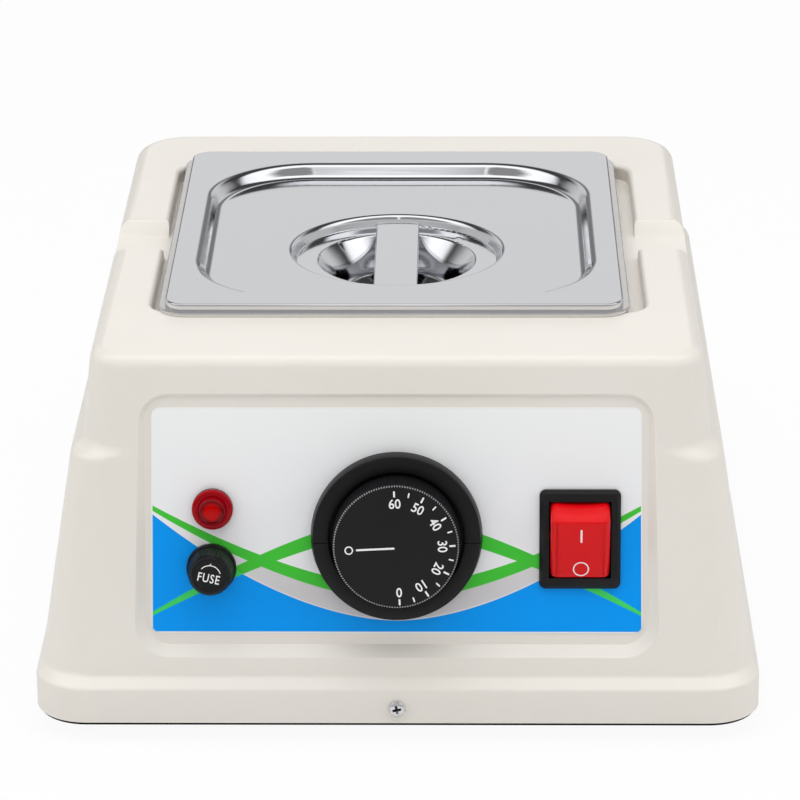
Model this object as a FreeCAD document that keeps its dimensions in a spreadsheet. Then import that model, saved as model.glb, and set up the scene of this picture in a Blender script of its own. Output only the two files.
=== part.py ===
import FreeCAD, Part
import math
import os
import re

import Sketcher
from FreeCAD import Placement, Rotation, Vector

# Chocolate melter: a drawn aluminium well in a moulded housing, a lift-out food pan
# with a lid, and a front panel with thermostat, lamp, fuse and mains switch.
# Lengths are in millimetres and angles in degrees. +Z is up and the front faces -Y.

DRIVING_SIZES = {
    # how far a cut runs past the surface that it starts or ends in
    "cut_past": 1.0,
    # housing: half sizes of the flat top before its edge is rounded
    "case_height": 123.6,
    "top_half_x": 102.6,
    "top_half_y": 122.35,
    "lean_front": 10.5,
    "lean_upper": 6.7,
    "lean_lower": 8.9,
    "shoulder_low": 87.5,
    "shoulder_high": 93.0,
    "shoulder_step": 3.4,
    "flange_height": 11.5,
    "flange_blend": 4.5,
    "flange_step_x": 1.9,
    "flange_step_y": 4.4,
    "edge_round": 5.0,
    "case_wall": 3.5,
    "corner_front_top": 12.0,
    "corner_front_waist": 18.0,
    "corner_front_shoulder": 13.0,
    "corner_front_base": 18.0,
    "corner_rear_top": 20.0,
    "corner_rear_waist": 27.0,
    "corner_rear_shoulder": 24.0,
    "corner_rear_base": 26.0,
    # well opening in the top, and the ledge that carries the well
    "well_shift_y": 2.9,
    "opening_half_x": 85.0,
    "opening_half_y": 82.2,
    "opening_corner": 9.0,
    "opening_round": 2.0,
    "ledge_depth": 5.6,
    "ledge_thickness": 3.5,
    "ledge_hole_half_x": 74.2,
    "ledge_hole_half_y": 80.0,
    "notch_width": 33.0,
    "notch_run": 5.0,
    "notch_round": 2.5,
    # food pan, a sixth-size gastronorm pan 100 deep
    "pan_half_x": 81.0,
    "pan_half_y": 88.0,
    "pan_depth": 100.0,
    "pan_rim_width": 11.0,
    "pan_rim_thickness": 1.3,
    "pan_sheet": 0.8,
    "pan_taper": 4.0,
    "pan_corner": 10.0,
    "pan_body_corner": 22.0,
    "pan_bottom_round": 12.0,
    "pan_shift_x": -1.4,
    # lid
    "lid_half_x": 78.75,
    "lid_half_y": 85.75,
    "lid_corner": 7.0,
    "lid_sheet": 0.8,
    "lid_skirt": 2.6,
    "tray_half_x": 70.0,
    "tray_half_y": 73.6,
    "tray_corner": 38.0,
    "tray_run": 4.0,
    "tray_depth": 4.7,
    "tray_shift_y": -3.4,
    "cup_shift_y": -14.0,
    "ring_radius": 37.6,
    "ring_run": 1.6,
    "ring_depth": 4.0,
    "cup_radius": 28.3,
    "cup_floor_radius": 18.0,
    "cup_depth": 11.0,
    "strap_width": 15.6,
    "strap_length": 70.0,
    "strap_thickness": 2.0,
    "strap_corner": 1.0,
    # heated well
    "well_gap": 1.2,
    "well_sheet": 1.2,
    "well_floor_gap": 2.3,
    "well_flange_half_x": 79.4,
    "well_flange_gap": 0.6,
    "well_flange_corner": 8.4,
    "gasket_thickness": 0.8,
    "well_screw_x": 76.8,
    "well_screw_y": 55.0,
    "well_screw_radius": 1.45,
    "well_screw_head": 2.5,
    "well_head_height": 1.6,
    "well_screw_length": 8.0,
    "heater_thickness": 1.6,
    "heater_margin": 3.0,
    "insulation_thickness": 8.0,
    "jacket_thickness": 5.0,
    "jacket_gap": 0.3,
    "jacket_low": 30.0,
    "jacket_high": 98.0,
    "bulb_radius": 3.0,
    "bulb_length": 80.0,
    "bulb_height": 42.0,
    "bulb_gap": 0.3,
    "clip_width": 14.0,
    "clip_sheet": 1.0,
    "clip_wing": 6.0,
    "capillary_radius": 0.75,
    "capillary_reach": 10.0,
    # front panel: a flat floor sunk in the leaning front face
    "panel_lean": 9.0,
    "panel_wall": 3.2,
    "panel_top_depth": 0.9,
    "panel_top_height": 110.9,
    "knob_height": 62.65,
    "panel_half_width": 84.8,
    "panel_above": 47.6,
    "panel_below": 38.0,
    "panel_corner": 8.5,
    "panel_bevel_angle": 50.0,
    "panel_margin": 8.0,
    "overlay_half_top": 82.0,
    "overlay_half_bottom": 83.0,
    "overlay_above": 44.0,
    "overlay_below": 34.0,
    "overlay_corner": 3.2,
    "overlay_thickness": 0.3,
    # dial
    "bezel_radius": 28.9,
    "bezel_face_radius": 28.3,
    "bezel_height": 5.4,
    "bezel_mouth_radius": 22.6,
    "bezel_floor": 1.4,
    "bezel_edge_round": 0.8,
    "knob_radius": 21.9,
    "knob_face_radius": 20.9,
    "knob_reach": 16.5,
    "knob_lift": 0.6,
    "knob_wall": 2.0,
    "knob_edge_round": 0.6,
    "knob_hub_radius": 6.0,
    "knob_flutes": 60,
    "flute_depth": 0.45,
    "flute_share": 0.85,
    "shaft_radius": 3.0,
    "shaft_flat": 2.2,
    "shaft_fit": 0.05,
    "shaft_in_knob": 9.0,
    "shaft_hole_radius": 5.3,
    "bush_radius": 5.0,
    "thermostat_width": 37.0,
    "thermostat_height": 34.0,
    "thermostat_depth": 27.0,
    "thermostat_screw_pitch": 28.0,
    "thermostat_screw_radius": 1.95,
    "thermostat_screw_head": 3.5,
    "thermostat_head_height": 2.4,
    "thermostat_screw_length": 11.0,
    "thermostat_corner": 3.0,
    "screw_fit": 0.05,
    "screw_clearance": 0.15,
    "bush_shortfall": 0.4,
    "shaft_in_body": 8.0,
    "shaft_end_gap": 0.2,
    "terminal_pitch": 14.0,
    # pilot lamp
    "lamp_x": -61.8,
    "lamp_rise": 9.3,
    "lamp_flange_radius": 6.9,
    "lamp_flange_height": 3.2,
    "lamp_base_height": 1.0,
    "lamp_dome_radius": 4.4,
    "lamp_dome_height": 6.6,
    "lamp_body_radius": 4.9,
    "lamp_body_length": 24.0,
    "lamp_edge_round": 0.8,
    "lamp_nut_across": 13.0,
    "lamp_nut_height": 3.0,
    # fuse holder
    "fuse_x": -62.4,
    "fuse_drop": 11.2,
    "fuse_flange_radius": 8.4,
    "fuse_flange_height": 2.2,
    "fuse_body_radius": 6.0,
    "fuse_body_length": 36.0,
    "fuse_nut_across": 16.0,
    "fuse_nut_height": 4.0,
    "fuse_cap_radius": 7.8,
    "fuse_cap_face_radius": 6.0,
    "fuse_cap_draft": 0.6,
    "fuse_cap_bevel": 1.2,
    "fuse_cap_gap": 0.3,
    "fuse_cap_reach": 12.5,
    "fuse_cap_flutes": 36,
    "fuse_bore_radius": 4.3,
    "fuse_plug_radius": 4.1,
    "fuse_plug_length": 12.0,
    "fuse_radius": 2.6,
    "fuse_length": 20.0,
    "fuse_end_length": 5.5,
    "fuse_in_plug": 6.0,
    "fuse_fit": 0.08,
    # mains switch
    "switch_x": 61.6,
    "switch_drop": 1.1,
    "switch_half_width": 13.65,
    "switch_half_height": 17.1,
    "switch_flange": 2.2,
    "switch_corner": 2.2,
    "switch_body_half_width": 12.0,
    "switch_body_half_height": 15.5,
    "switch_body_depth": 22.0,
    "switch_body_corner": 1.0,
    "switch_chamfer": 1.2,
    "switch_gap": 0.2,
    "rocker_half_width": 10.15,
    "rocker_radius": 14.2,
    "rocker_chord": 9.6,
    "rocker_pivot_depth": 6.0,
    "rocker_rest_angle": 16.0,
    "rocker_gap": 0.3,
    "rocker_pin_radius": 1.6,
    "rocker_pin_length": 1.2,
    "rocker_depth_below": 4.0,
    "terminal_width": 6.3,
    "terminal_thickness": 0.8,
    "terminal_length": 9.0,
    # base
    "foot_height": 6.0,
    "foot_radius": 9.0,
    "foot_inset_x": 26.0,
    "foot_inset_y": 30.0,
    "foot_taper": 4.0,
    "foot_recess": 3.2,
    "foot_recess_radius": 4.2,
    "foot_screw_radius": 1.9,
    "foot_screw_head": 3.6,
    "foot_head_height": 2.2,
    "foot_nut_across": 7.0,
    "foot_nut_height": 3.0,
    "foot_screw_spare": 1.2,
    "plate_thickness": 1.2,
    "plate_inset": 1.0,
    "tab_width": 16.0,
    "tab_height": 9.0,
    "tab_gap": 0.3,
    "skirt_screw_height": 5.6,
    "skirt_screw_radius": 1.5,
    "skirt_screw_head": 2.8,
    "skirt_head_height": 1.7,
    "skirt_screw_length": 9.0,
    "vent_width": 3.0,
    "vent_length": 46.0,
    "vent_corner": 1.4,
    "vent_pitch": 9.0,
    "vent_rows": 8,
    "vent_spread": 60.0,
    # cable entry at the back
    "gland_x": 60.0,
    "gland_height": 34.0,
    "gland_radius": 7.9,
    "gland_across": 19.0,
    "gland_hex_height": 5.0,
    "gland_dome_radius": 8.6,
    "gland_tip_radius": 6.2,
    "gland_dome_height": 8.0,
    "gland_thread_length": 10.0,
    "gland_nut_height": 4.5,
    "gland_neck_radius": 6.8,
    "gland_neck_height": 4.0,
    "gland_roof": 3.0,
    "gland_lip": 0.5,
    "gland_bore": 5.2,
    "cable_bore": 3.6,
    # terminal block
    "block_x": 62.0,
    "block_y": 96.0,
    "block_width": 30.0,
    "block_depth": 17.0,
    "block_height": 13.0,
    "block_pole_pitch": 10.0,
    "block_pole_width": 7.0,
    "block_pole_rise": 4.0,
    "block_corner": 1.5,
    "block_margin": 1.0,
    "block_screw_radius": 2.2,
}

WORKED_OUT_SIZES = {
    # heights over the surface that the feet stand on
    "rim_height": "foot_height + plate_thickness",
    # half sizes of the housing where its faces bend, over its lower edge
    "flange_top": "flange_height + flange_blend",
    "waist_x": "top_half_x + (case_height - shoulder_low) * tan(lean_upper)",
    "flange_x": "waist_x + shoulder_step + (shoulder_low - flange_top) * tan(lean_lower)",
    "flange_y": "top_half_y + (case_height - flange_top) * tan(lean_front)",
    "base_half_x": "flange_x + flange_step_x",
    "base_half_y": "flange_y + flange_step_y",
    # panel floor at the dial's axis, measured from the housing's centre
    "panel_y": "-(top_half_y + (case_height - panel_top_height) * tan(lean_front)"
               " - panel_top_depth / cos(panel_lean))"
               " - (panel_top_height - knob_height) * tan(panel_lean)",
    "rear_wall_y": "top_half_y + (case_height - gland_height) * tan(lean_front)",
    # the part's origin lies under the middle of its whole depth
    "front_reach": "knob_reach * cos(panel_lean) + knob_face_radius * sin(panel_lean) - panel_y",
    "rear_reach": "rear_wall_y + (gland_hex_height + gland_dome_height) * cos(lean_front)"
                  " + gland_tip_radius * sin(lean_front)",
    "frame_y": "(front_reach - rear_reach) / 2",
    # well and pan
    "pan_mouth_x": "pan_half_x - pan_rim_width",
    "pan_mouth_y": "pan_half_y - pan_rim_width",
    "well_half_x": "pan_mouth_x + well_gap - pan_shift_x",
    "well_half_y": "pan_mouth_y + well_gap",
    "well_top": "case_height - ledge_depth",
    "well_floor": "case_height + pan_rim_thickness - pan_depth - well_floor_gap",
    "well_under": "well_floor - well_sheet",
    "flange_seat": "well_top + gasket_thickness",
    "flange_face": "flange_seat + well_sheet",
    "well_drop": "flange_face - well_floor",
    "heater_under": "well_under - heater_thickness",
    # levels on the front panel, outwards from its floor
    "bezel_inside": "overlay_thickness + bezel_floor",
    "knob_back": "bezel_inside + knob_lift",
    "lamp_seat": "overlay_thickness + lamp_base_height",
    "fuse_seat": "overlay_thickness + fuse_flange_height",
    "fuse_cap_seat": "fuse_seat + fuse_cap_gap",
    "switch_face": "overlay_thickness + switch_flange",
    "rocker_pivot": "switch_face - rocker_pivot_depth",
}

doc = FreeCAD.newDocument("ChocolateMelter")
sizes = doc.addObject("Spreadsheet::Sheet", "Sizes")
ALIASES = list(DRIVING_SIZES) + list(WORKED_OUT_SIZES)
for row, alias in enumerate(ALIASES, start=1):
    driving = alias in DRIVING_SIZES
    sizes.set(f"A{row}", alias)
    sizes.set(f"B{row}", str(DRIVING_SIZES[alias]) if driving else "=" + WORKED_OUT_SIZES[alias])
    sizes.setAlias(f"B{row}", alias)
doc.recompute()

pieces = []


def sized(expression):
    """Expression text with each size name pointed at the sheet."""
    return re.sub(r"[a-z]\w+",
                  lambda word: "Sizes." + word.group() if word.group() in ALIASES else word.group(),
                  expression)


def value(expression):
    """Number that an expression over the sheet's sizes gives."""
    return float(sizes.evalExpression(sized(expression)))


def bind(thing, **formulas):
    """Tie an object's properties to expressions; a double underscore stands for a dot."""
    for name, expression in formulas.items():
        thing.setExpression(name.replace("__", "."), sized(expression))


def body_named(name):
    """Start the body of one sub-part."""
    body = doc.addObject("PartDesign::Body", name)
    body.Label = name
    pieces.append(body)
    return body


def sketch_on(body, role, shift=("0", "0", "0"), tilt=None):
    """Sketch on one of the body's own planes, moved by shift in the sketch's own axes.

    tilt leans the sketch back about its x axis.
    """
    sketch = body.newObject("Sketcher::SketchObject", body.Name + "_sketch")
    plane = next(item for item in body.Origin.OriginFeatures if item.Role == role)
    sketch.AttachmentSupport = (plane, [""])
    sketch.MapMode = "FlatFace"
    if tilt:
        sketch.AttachmentOffset = Placement(Vector(), Rotation(Vector(1, 0, 0), 1))
        bind(sketch, AttachmentOffset__Rotation__Angle=tilt)
    bind(sketch, AttachmentOffset__Base__x=shift[0], AttachmentOffset__Base__y=shift[1],
         AttachmentOffset__Base__z=shift[2])
    return sketch


def hold(sketch, kind, *where):
    """Add a constraint whose last item is the expression that drives it."""
    number = sketch.addConstraint(Sketcher.Constraint(kind, *where[:-1], value(where[-1])))
    sketch.setExpression(f"Constraints[{number}]", sized(where[-1]))


def outline(sketch, corners):
    """Draw a closed outline; each corner is (x, y) or (x, y, radius of its round)."""
    spots = [Vector(value(corner[0]), value(corner[1]), 0) for corner in corners]
    rounds = [value(corner[2]) if len(corner) > 2 else 0.0 for corner in corners]
    count = len(corners)
    arrivals, departures, mids = [], [], []
    for here in range(count):
        back = (spots[here - 1] - spots[here]).normalize()
        ahead = (spots[(here + 1) % count] - spots[here]).normalize()
        half_angle = back.getAngle(ahead) / 2
        reach = rounds[here] / math.tan(half_angle)
        inward = (back + ahead).normalize() if rounds[here] else Vector()
        arrivals.append(spots[here] + back * reach)
        departures.append(spots[here] + ahead * reach)
        mids.append(spots[here] + inward * (rounds[here] / math.sin(half_angle) - rounds[here]))
    first = sketch.GeometryCount
    for here in range(count):
        sketch.addGeometry(Part.LineSegment(departures[here], arrivals[(here + 1) % count]), False)
    for here in range(count):
        side_in, side_out = first + (here - 1) % count, first + here
        if not rounds[here]:
            sketch.addConstraint(Sketcher.Constraint("Coincident", side_in, 2, side_out, 1))
            hold(sketch, "DistanceX", -1, 1, side_out, 1, corners[here][0])
            hold(sketch, "DistanceY", -1, 1, side_out, 1, corners[here][1])
            continue
        bend = (arrivals[here] - mids[here]).cross(departures[here] - mids[here]).z
        start, end = (1, 2) if bend < 0 else (2, 1)
        arc = sketch.addGeometry(Part.Arc(arrivals[here], mids[here], departures[here]), False)
        tip = sketch.addGeometry(Part.Point(spots[here]), True)
        sketch.addConstraint([
            Sketcher.Constraint("Tangent", side_in, 2, arc, start),
            Sketcher.Constraint("Tangent", side_out, 1, arc, end),
            Sketcher.Constraint("PointOnObject", tip, 1, side_in),
            Sketcher.Constraint("PointOnObject", tip, 1, side_out),
        ])
        hold(sketch, "Radius", arc, corners[here][2])
        hold(sketch, "DistanceX", -1, 1, tip, 1, corners[here][0])
        hold(sketch, "DistanceY", -1, 1, tip, 1, corners[here][1])
    return sketch


def box_corners(half_x, half_y, round_front, round_rear=None, x="0", y="0"):
    """Corners of a rounded rectangle about (x, y), for outline."""
    rear = round_rear or round_front
    return [(f"{x} - ({half_x})", f"{y} - ({half_y})", round_front),
            (f"{x} + ({half_x})", f"{y} - ({half_y})", round_front),
            (f"{x} + ({half_x})", f"{y} + ({half_y})", rear),
            (f"{x} - ({half_x})", f"{y} + ({half_y})", rear)]


def circle(sketch, x, y, radius):
    """Draw a circle whose centre and radius are driven by expressions."""
    shape = Part.Circle(Vector(value(x), value(y), 0), Vector(0, 0, 1), value(radius))
    number = sketch.addGeometry(shape, False)
    hold(sketch, "DistanceX", -1, 1, number, 3, x)
    hold(sketch, "DistanceY", -1, 1, number, 3, y)
    hold(sketch, "Radius", number, radius)
    return sketch


def feature(body, kind, sketch, **formulas):
    """Add a sketch-based feature of the given kind with its sizes bound."""
    item = body.newObject("PartDesign::" + kind, body.Name + "_" + kind)
    item.Profile = sketch
    bind(item, **formulas)
    return item


def pad(body, sketch, length, reverse=False):
    """Raise a sketch by a length."""
    item = feature(body, "Pad", sketch, Length=length)
    item.Reversed = reverse
    return item


def pocket(body, sketch, length=None, reverse=False):
    """Cut a sketch by a length, or right through both ways when no length is given."""
    item = feature(body, "Pocket", sketch)
    if length is None:
        item.SideType = "Symmetric"
        item.Type = "ThroughAll"
    else:
        bind(item, Length=length)
    item.Reversed = reverse
    return item


def loft(body, kind, sketches):
    """Join a row of like sketches with straight sides between each two."""
    item = body.newObject("PartDesign::" + kind, body.Name + "_" + kind)
    item.Profile = sketches[0]
    item.Sections = sketches[1:]
    item.Ruled = True
    return item


def turn(body, corners, kind="Revolution", y="0"):
    """Turn an outline of (radius, height) corners about an upright axis at (0, y)."""
    sketch = outline(sketch_on(body, "XZ_Plane", ("0", "0", f"-({y})")), corners)
    item = feature(body, kind, sketch)
    item.ReferenceAxis = (sketch, ["V_Axis"])
    item.Angle = 360
    return item


def pad_both_ways(body, sketch, length):
    """Raise a sketch by half the length to each side."""
    item = pad(body, sketch, length)
    item.SideType = "Symmetric"
    return item


def pocket_both_ways(body, sketch, length):
    """Cut a sketch by half the length to each side."""
    item = pocket(body, sketch, length)
    item.SideType = "Symmetric"
    return item


def rectangle(sketch, left, right, bottom, top):
    """Draw a rectangle with sharp corners."""
    return outline(sketch, [(left, bottom), (right, bottom), (right, top), (left, top)])


def hexagon(sketch, across, x="0", y="0"):
    """Draw a hexagon by its width across flats."""
    return outline(sketch, [(f"{x} + {across} / 2 / cos(30) * cos({angle})",
                             f"{y} + {across} / 2 / cos(30) * sin({angle})")
                            for angle in range(0, 360, 60)])


def chamfer_edges(body, wanted, size):
    """Bevel those edges of the body's present shape that a test picks."""
    doc.recompute()
    base = body.Tip
    names = [f"Edge{number}" for number, edge in enumerate(base.Shape.Edges, start=1) if wanted(edge)]
    item = body.newObject("PartDesign::Chamfer", body.Name + "_chamfer")
    item.Base = (base, names)
    bind(item, Size=size)
    return item


def lies_at(height):
    """Test for edges that lie level at a height of the piece's own frame."""
    level = value(height)
    return lambda edge: (abs(edge.BoundBox.ZMin - level) < 0.01
                         and abs(edge.BoundBox.ZMax - level) < 0.01)


def flutes(body, count, low, low_radius, high, high_radius):
    """Cut sharp grooves down a round side that narrows from one radius to another."""
    cuts = []
    for height, radius in ((low, low_radius), (high, high_radius)):
        sketch = sketch_on(body, "XY_Plane", ("0", "0", height))
        half = f"flute_share * pi * ({radius}) / {count} * (flute_depth + cut_past) / flute_depth"
        cuts.append(outline(sketch, [(f"{radius} - flute_depth", "0"),
                                     (f"{radius} + cut_past", f"-({half})"),
                                     (f"{radius} + cut_past", half)]))
    repeat_round(body, loft(body, "SubtractiveLoft", cuts), count)


def repeat_round(body, cutter, count):
    """Repeat a feature evenly about the body's own Z axis."""
    pattern = body.newObject("PartDesign::PolarPattern", body.Name + "_pattern")
    pattern.Originals = [cutter]
    pattern.Axis = (next(item for item in body.Origin.OriginFeatures if item.Role == "Z_Axis"), [""])
    pattern.Angle = 360
    bind(pattern, Occurrences=count)
    body.Tip = pattern
    return pattern


def round_edges(body, wanted, radius):
    """Round those edges of the body's present shape that a test picks."""
    doc.recompute()
    base = body.Tip
    names = [f"Edge{number}" for number, edge in enumerate(base.Shape.Edges, start=1) if wanted(edge)]
    item = body.newObject("PartDesign::Fillet", body.Name + "_fillet")
    item.Base = (base, names)
    bind(item, Radius=radius)
    return item


def stand(piece, x="0", y="0", height="0"):
    """Place a piece that is drawn about the housing's centre and lower edge."""
    bind(piece, Placement__Base__x=x, Placement__Base__y=f"frame_y + ({y})",
         Placement__Base__z=f"rim_height + ({height})")


def mount_on_panel(piece, x="0", up="0", out="0", turned="0"):
    """Place a piece that is drawn with z outwards from the front panel's floor."""
    piece.Placement = Placement(Vector(), Rotation(Vector(1, 0, 0), 45))
    bind(piece, Placement__Rotation__Angle=f"90 - panel_lean + {turned}",
         Placement__Base__x=x,
         Placement__Base__y=f"frame_y + panel_y + ({up}) * sin(panel_lean)"
                            f" - ({out}) * cos(panel_lean)",
         Placement__Base__z=f"rim_height + knob_height + ({up}) * cos(panel_lean)"
                            f" + ({out}) * sin(panel_lean)")


def mount_on_rear(piece):
    """Place a piece that is drawn with z outwards from the rear wall."""
    piece.Placement = Placement(Vector(), Rotation(Vector(-1, 0, 0), 45))
    bind(piece, Placement__Rotation__Angle="90 - lean_front", Placement__Base__x="gland_x",
         Placement__Base__y="frame_y + rear_wall_y",
         Placement__Base__z="rim_height + gland_height")


# shares of the way through an S-shaped blend, and angles round the housing's top edge
BLEND_SHARES = (0.25, 0.5, 0.75, 1)
EDGE_ANGLES = (12, 30, 50, 70, 90)


def housing_half_x(height, lower):
    """Half width of the housing's flank at a height over its lower edge."""
    if lower:
        return f"waist_x + shoulder_step + (shoulder_low - ({height})) * tan(lean_lower)"
    return f"top_half_x + (case_height - ({height})) * tan(lean_upper)"


def housing_half_y(height):
    """Half depth of the housing's front or rear face at a height over its lower edge."""
    return f"top_half_y + (case_height - ({height})) * tan(lean_front)"


def mix(first, second, share):
    """Expression that lies the given share of the way from one to another."""
    return f"({first}) * {1 - share:.4f} + ({second}) * {share:.4f}"


def bend_sections():
    """Heights, half sizes and corner rounds where the housing's sides change their slope."""
    skirt = ("base_half_x", "base_half_y", "corner_front_base", "corner_rear_base")
    return [("0",) + skirt, ("flange_height",) + skirt,
            ("flange_top", "flange_x", "flange_y", "corner_front_base", "corner_rear_base"),
            ("shoulder_low", housing_half_x("shoulder_low", True), housing_half_y("shoulder_low"),
             "corner_front_shoulder", "corner_rear_shoulder"),
            ("shoulder_high", housing_half_x("shoulder_high", False),
             housing_half_y("shoulder_high"), "corner_front_waist", "corner_rear_waist")]


def eased_sections(start, end):
    """Sections of an S-shaped blend from one section to the next, without the first."""
    rows = []
    for share in BLEND_SHARES:
        eased = (1 - math.cos(math.pi * share)) / 2
        rows.append((mix(start[0], end[0], share),
                     *(mix(one, other, eased) for one, other in zip(start[1:], end[1:]))))
    return rows


def housing_sections():
    """Sections of the housing's outside, from its rim up over the rounded top edge."""
    rim, flange, ledge, low, high = bend_sections()
    rows = [rim, flange, *eased_sections(flange, ledge), low, *eased_sections(low, high)]
    for angle in EDGE_ANGLES:
        height = f"case_height - edge_round * (1 - sin({angle}))"
        inset = "edge_round * ((1 - sin({0})) * tan({0}) - cos({0}) + cos(" + str(angle) + "))"
        corner = f" - edge_round * (1 - cos({angle}))"
        rows.append((height, "top_half_x + " + inset.format("lean_upper"),
                     "top_half_y + " + inset.format("lean_front"),
                     "corner_front_top" + corner, "corner_rear_top" + corner))
    return rows


def section_sketches(body, rows, y="0"):
    """One rounded rectangle for each (height, half x, half y, front round, rear round)."""
    return [outline(sketch_on(body, "XY_Plane", ("0", "0", row[0])), box_corners(*row[1:], y=y))
            for row in rows]


def make_casing():
    """Moulded housing: shouldered shell, sunk panel, well opening and finger notches."""
    body = body_named("outer_casing")
    loft(body, "AdditiveLoft", section_sketches(body, housing_sections()))
    # hollow it to one wall thickness, open below
    roof = "case_height - case_wall"
    hollow = bend_sections() + [(roof, housing_half_x(roof, False), housing_half_y(roof),
                                 "corner_front_top", "corner_rear_top")]
    inner = [(row[0], *(f"({item}) - case_wall" for item in row[1:])) for row in hollow]
    loft(body, "SubtractiveLoft", section_sketches(body, inner))
    # walls round the well opening, under the finger notches and behind the panel
    surround = sketch_on(body, "XY_Plane", ("0", "0", "well_top - ledge_thickness"))
    outline(surround, box_corners("opening_half_x + case_wall", "opening_half_y + case_wall",
                                  "opening_corner + case_wall", y="well_shift_y"))
    pad(body, surround, "ledge_depth + ledge_thickness - case_wall / 2")
    notch_back = sketch_on(body, "YZ_Plane")
    rectangle(notch_back, "well_shift_y - notch_width / 2 - case_wall",
              "well_shift_y + notch_width / 2 + case_wall", "well_top - ledge_thickness",
              "case_height - case_wall / 2")
    pad_both_ways(body, notch_back, "2 * top_half_x - case_wall")
    backing = sketch_on(body, "XZ_Plane", ("0", "knob_height", "-panel_y"), tilt="-panel_lean")
    outline(backing, [
        ("-panel_half_width - panel_margin", "-panel_below - panel_margin"),
        ("panel_half_width + panel_margin", "-panel_below - panel_margin"),
        ("panel_half_width + panel_margin", "panel_above + panel_margin"),
        ("-panel_half_width - panel_margin", "panel_above + panel_margin")])
    pad(body, backing, "panel_wall", reverse=True)
    # well opening with its ledge
    top = ("0", "0", "case_height")
    opening = outline(sketch_on(body, "XY_Plane", top), box_corners(
        "opening_half_x", "opening_half_y", "opening_corner", y="well_shift_y"))
    pocket(body, opening, "ledge_depth")
    hole = outline(sketch_on(body, "XY_Plane", top), box_corners(
        "ledge_hole_half_x", "ledge_hole_half_y", "opening_corner", y="well_shift_y"))
    pocket(body, hole, "ledge_depth + ledge_thickness + cut_past")
    top_z, limit_x = value("case_height"), value("opening_half_x + cut_past")
    limit_y = value("opening_half_y + abs(well_shift_y) + cut_past")

    def is_mouth_edge(edge):
        box = edge.BoundBox
        level = abs(box.ZMin - top_z) < 0.01 and abs(box.ZMax - top_z) < 0.01
        return level and max(-box.XMin, box.XMax) < limit_x and max(-box.YMin, box.YMax) < limit_y

    round_edges(body, is_mouth_edge, "opening_round")
    # finger notches across both side rims
    notch = sketch_on(body, "YZ_Plane")
    outline(notch, [
        ("well_shift_y - notch_width", "case_height"),
        ("well_shift_y - notch_width / 2", "case_height", "notch_round"),
        ("well_shift_y - notch_width / 2 + notch_run", "well_top", "notch_round"),
        ("well_shift_y + notch_width / 2 - notch_run", "well_top", "notch_round"),
        ("well_shift_y + notch_width / 2", "case_height", "notch_round"),
        ("well_shift_y + notch_width", "case_height"),
        ("well_shift_y + notch_width", "case_height + cut_past"),
        ("well_shift_y - notch_width", "case_height + cut_past")])
    pocket(body, notch)
    # sunk panel with sloped sides
    reach = "(case_wall + panel_wall)"
    grow = f"{reach} * tan(panel_bevel_angle)"
    floor = []
    for level, more in (("0", "0"), (reach, grow)):
        sketch = sketch_on(body, "XZ_Plane", ("0", "knob_height + ({0}) * sin(panel_lean)".format(level),
                                              "({0}) * cos(panel_lean) - panel_y".format(level)),
                           tilt="-panel_lean")
        floor.append(outline(sketch, box_corners(
            f"panel_half_width + {more}", f"(panel_above + panel_below) / 2 + {more}",
            f"panel_corner + {more}", y="(panel_above - panel_below) / 2")))
    loft(body, "SubtractiveLoft", floor)
    # openings for what the panel carries
    holes = sketch_on(body, "XZ_Plane", ("0", "knob_height", "-panel_y"), tilt="-panel_lean")
    circle(holes, "0", "0", "shaft_hole_radius")
    at_thermostat_screws(holes, "thermostat_screw_radius + screw_clearance")
    circle(holes, "lamp_x", "lamp_rise", "lamp_body_radius + screw_clearance")
    circle(holes, "fuse_x", "-fuse_drop", "fuse_body_radius + screw_clearance")
    outline(holes, box_corners("switch_body_half_width + switch_gap",
                               "switch_body_half_height + switch_gap", "switch_body_corner",
                               x="switch_x", y="-switch_drop"))
    pocket(body, holes, "panel_wall + cut_past")
    # screws through the skirt, and the cable gland at the back
    for role in ("XZ_Plane", "YZ_Plane"):
        pocket(body, circle(sketch_on(body, role), "0", "skirt_screw_height",
                            "skirt_screw_radius + screw_clearance"))
    entry = sketch_on(body, "XZ_Plane", ("0", "gland_height", "-rear_wall_y"), tilt="lean_front")
    pocket(body, circle(entry, "gland_x", "0", "gland_radius + screw_clearance"),
           "2 * case_wall", reverse=True)
    ledge_holes = sketch_on(body, "XY_Plane", ("0", "well_shift_y", "case_height"))
    pocket(body, at_well_screws(ledge_holes, "well_screw_radius + screw_fit"),
           "ledge_depth + ledge_thickness + cut_past")
    stand(body)


def tub_sections(body, half_x, half_y, corner, top, floor, bottom_round):
    """Sections of a drawn tub that narrows downwards to a rounded floor."""
    rows = [(top, "0")]
    wall_run = f"(({top}) - ({floor})) * tan(pan_taper)"
    edge_run = f"({bottom_round}) * (1 - sin(pan_taper)) / cos(pan_taper)"
    for angle in ("90 - pan_taper", "62", "40", "20", "0"):
        rows.append((f"{floor} + ({bottom_round}) * (1 - cos({angle}))",
                     f"{wall_run} + {edge_run} - ({bottom_round}) * sin({angle})"))
    return section_sketches(body, [(height, f"{half_x} - ({inset})", f"{half_y} - ({inset})",
                                    f"{corner} - ({inset})", None) for height, inset in rows])


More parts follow.
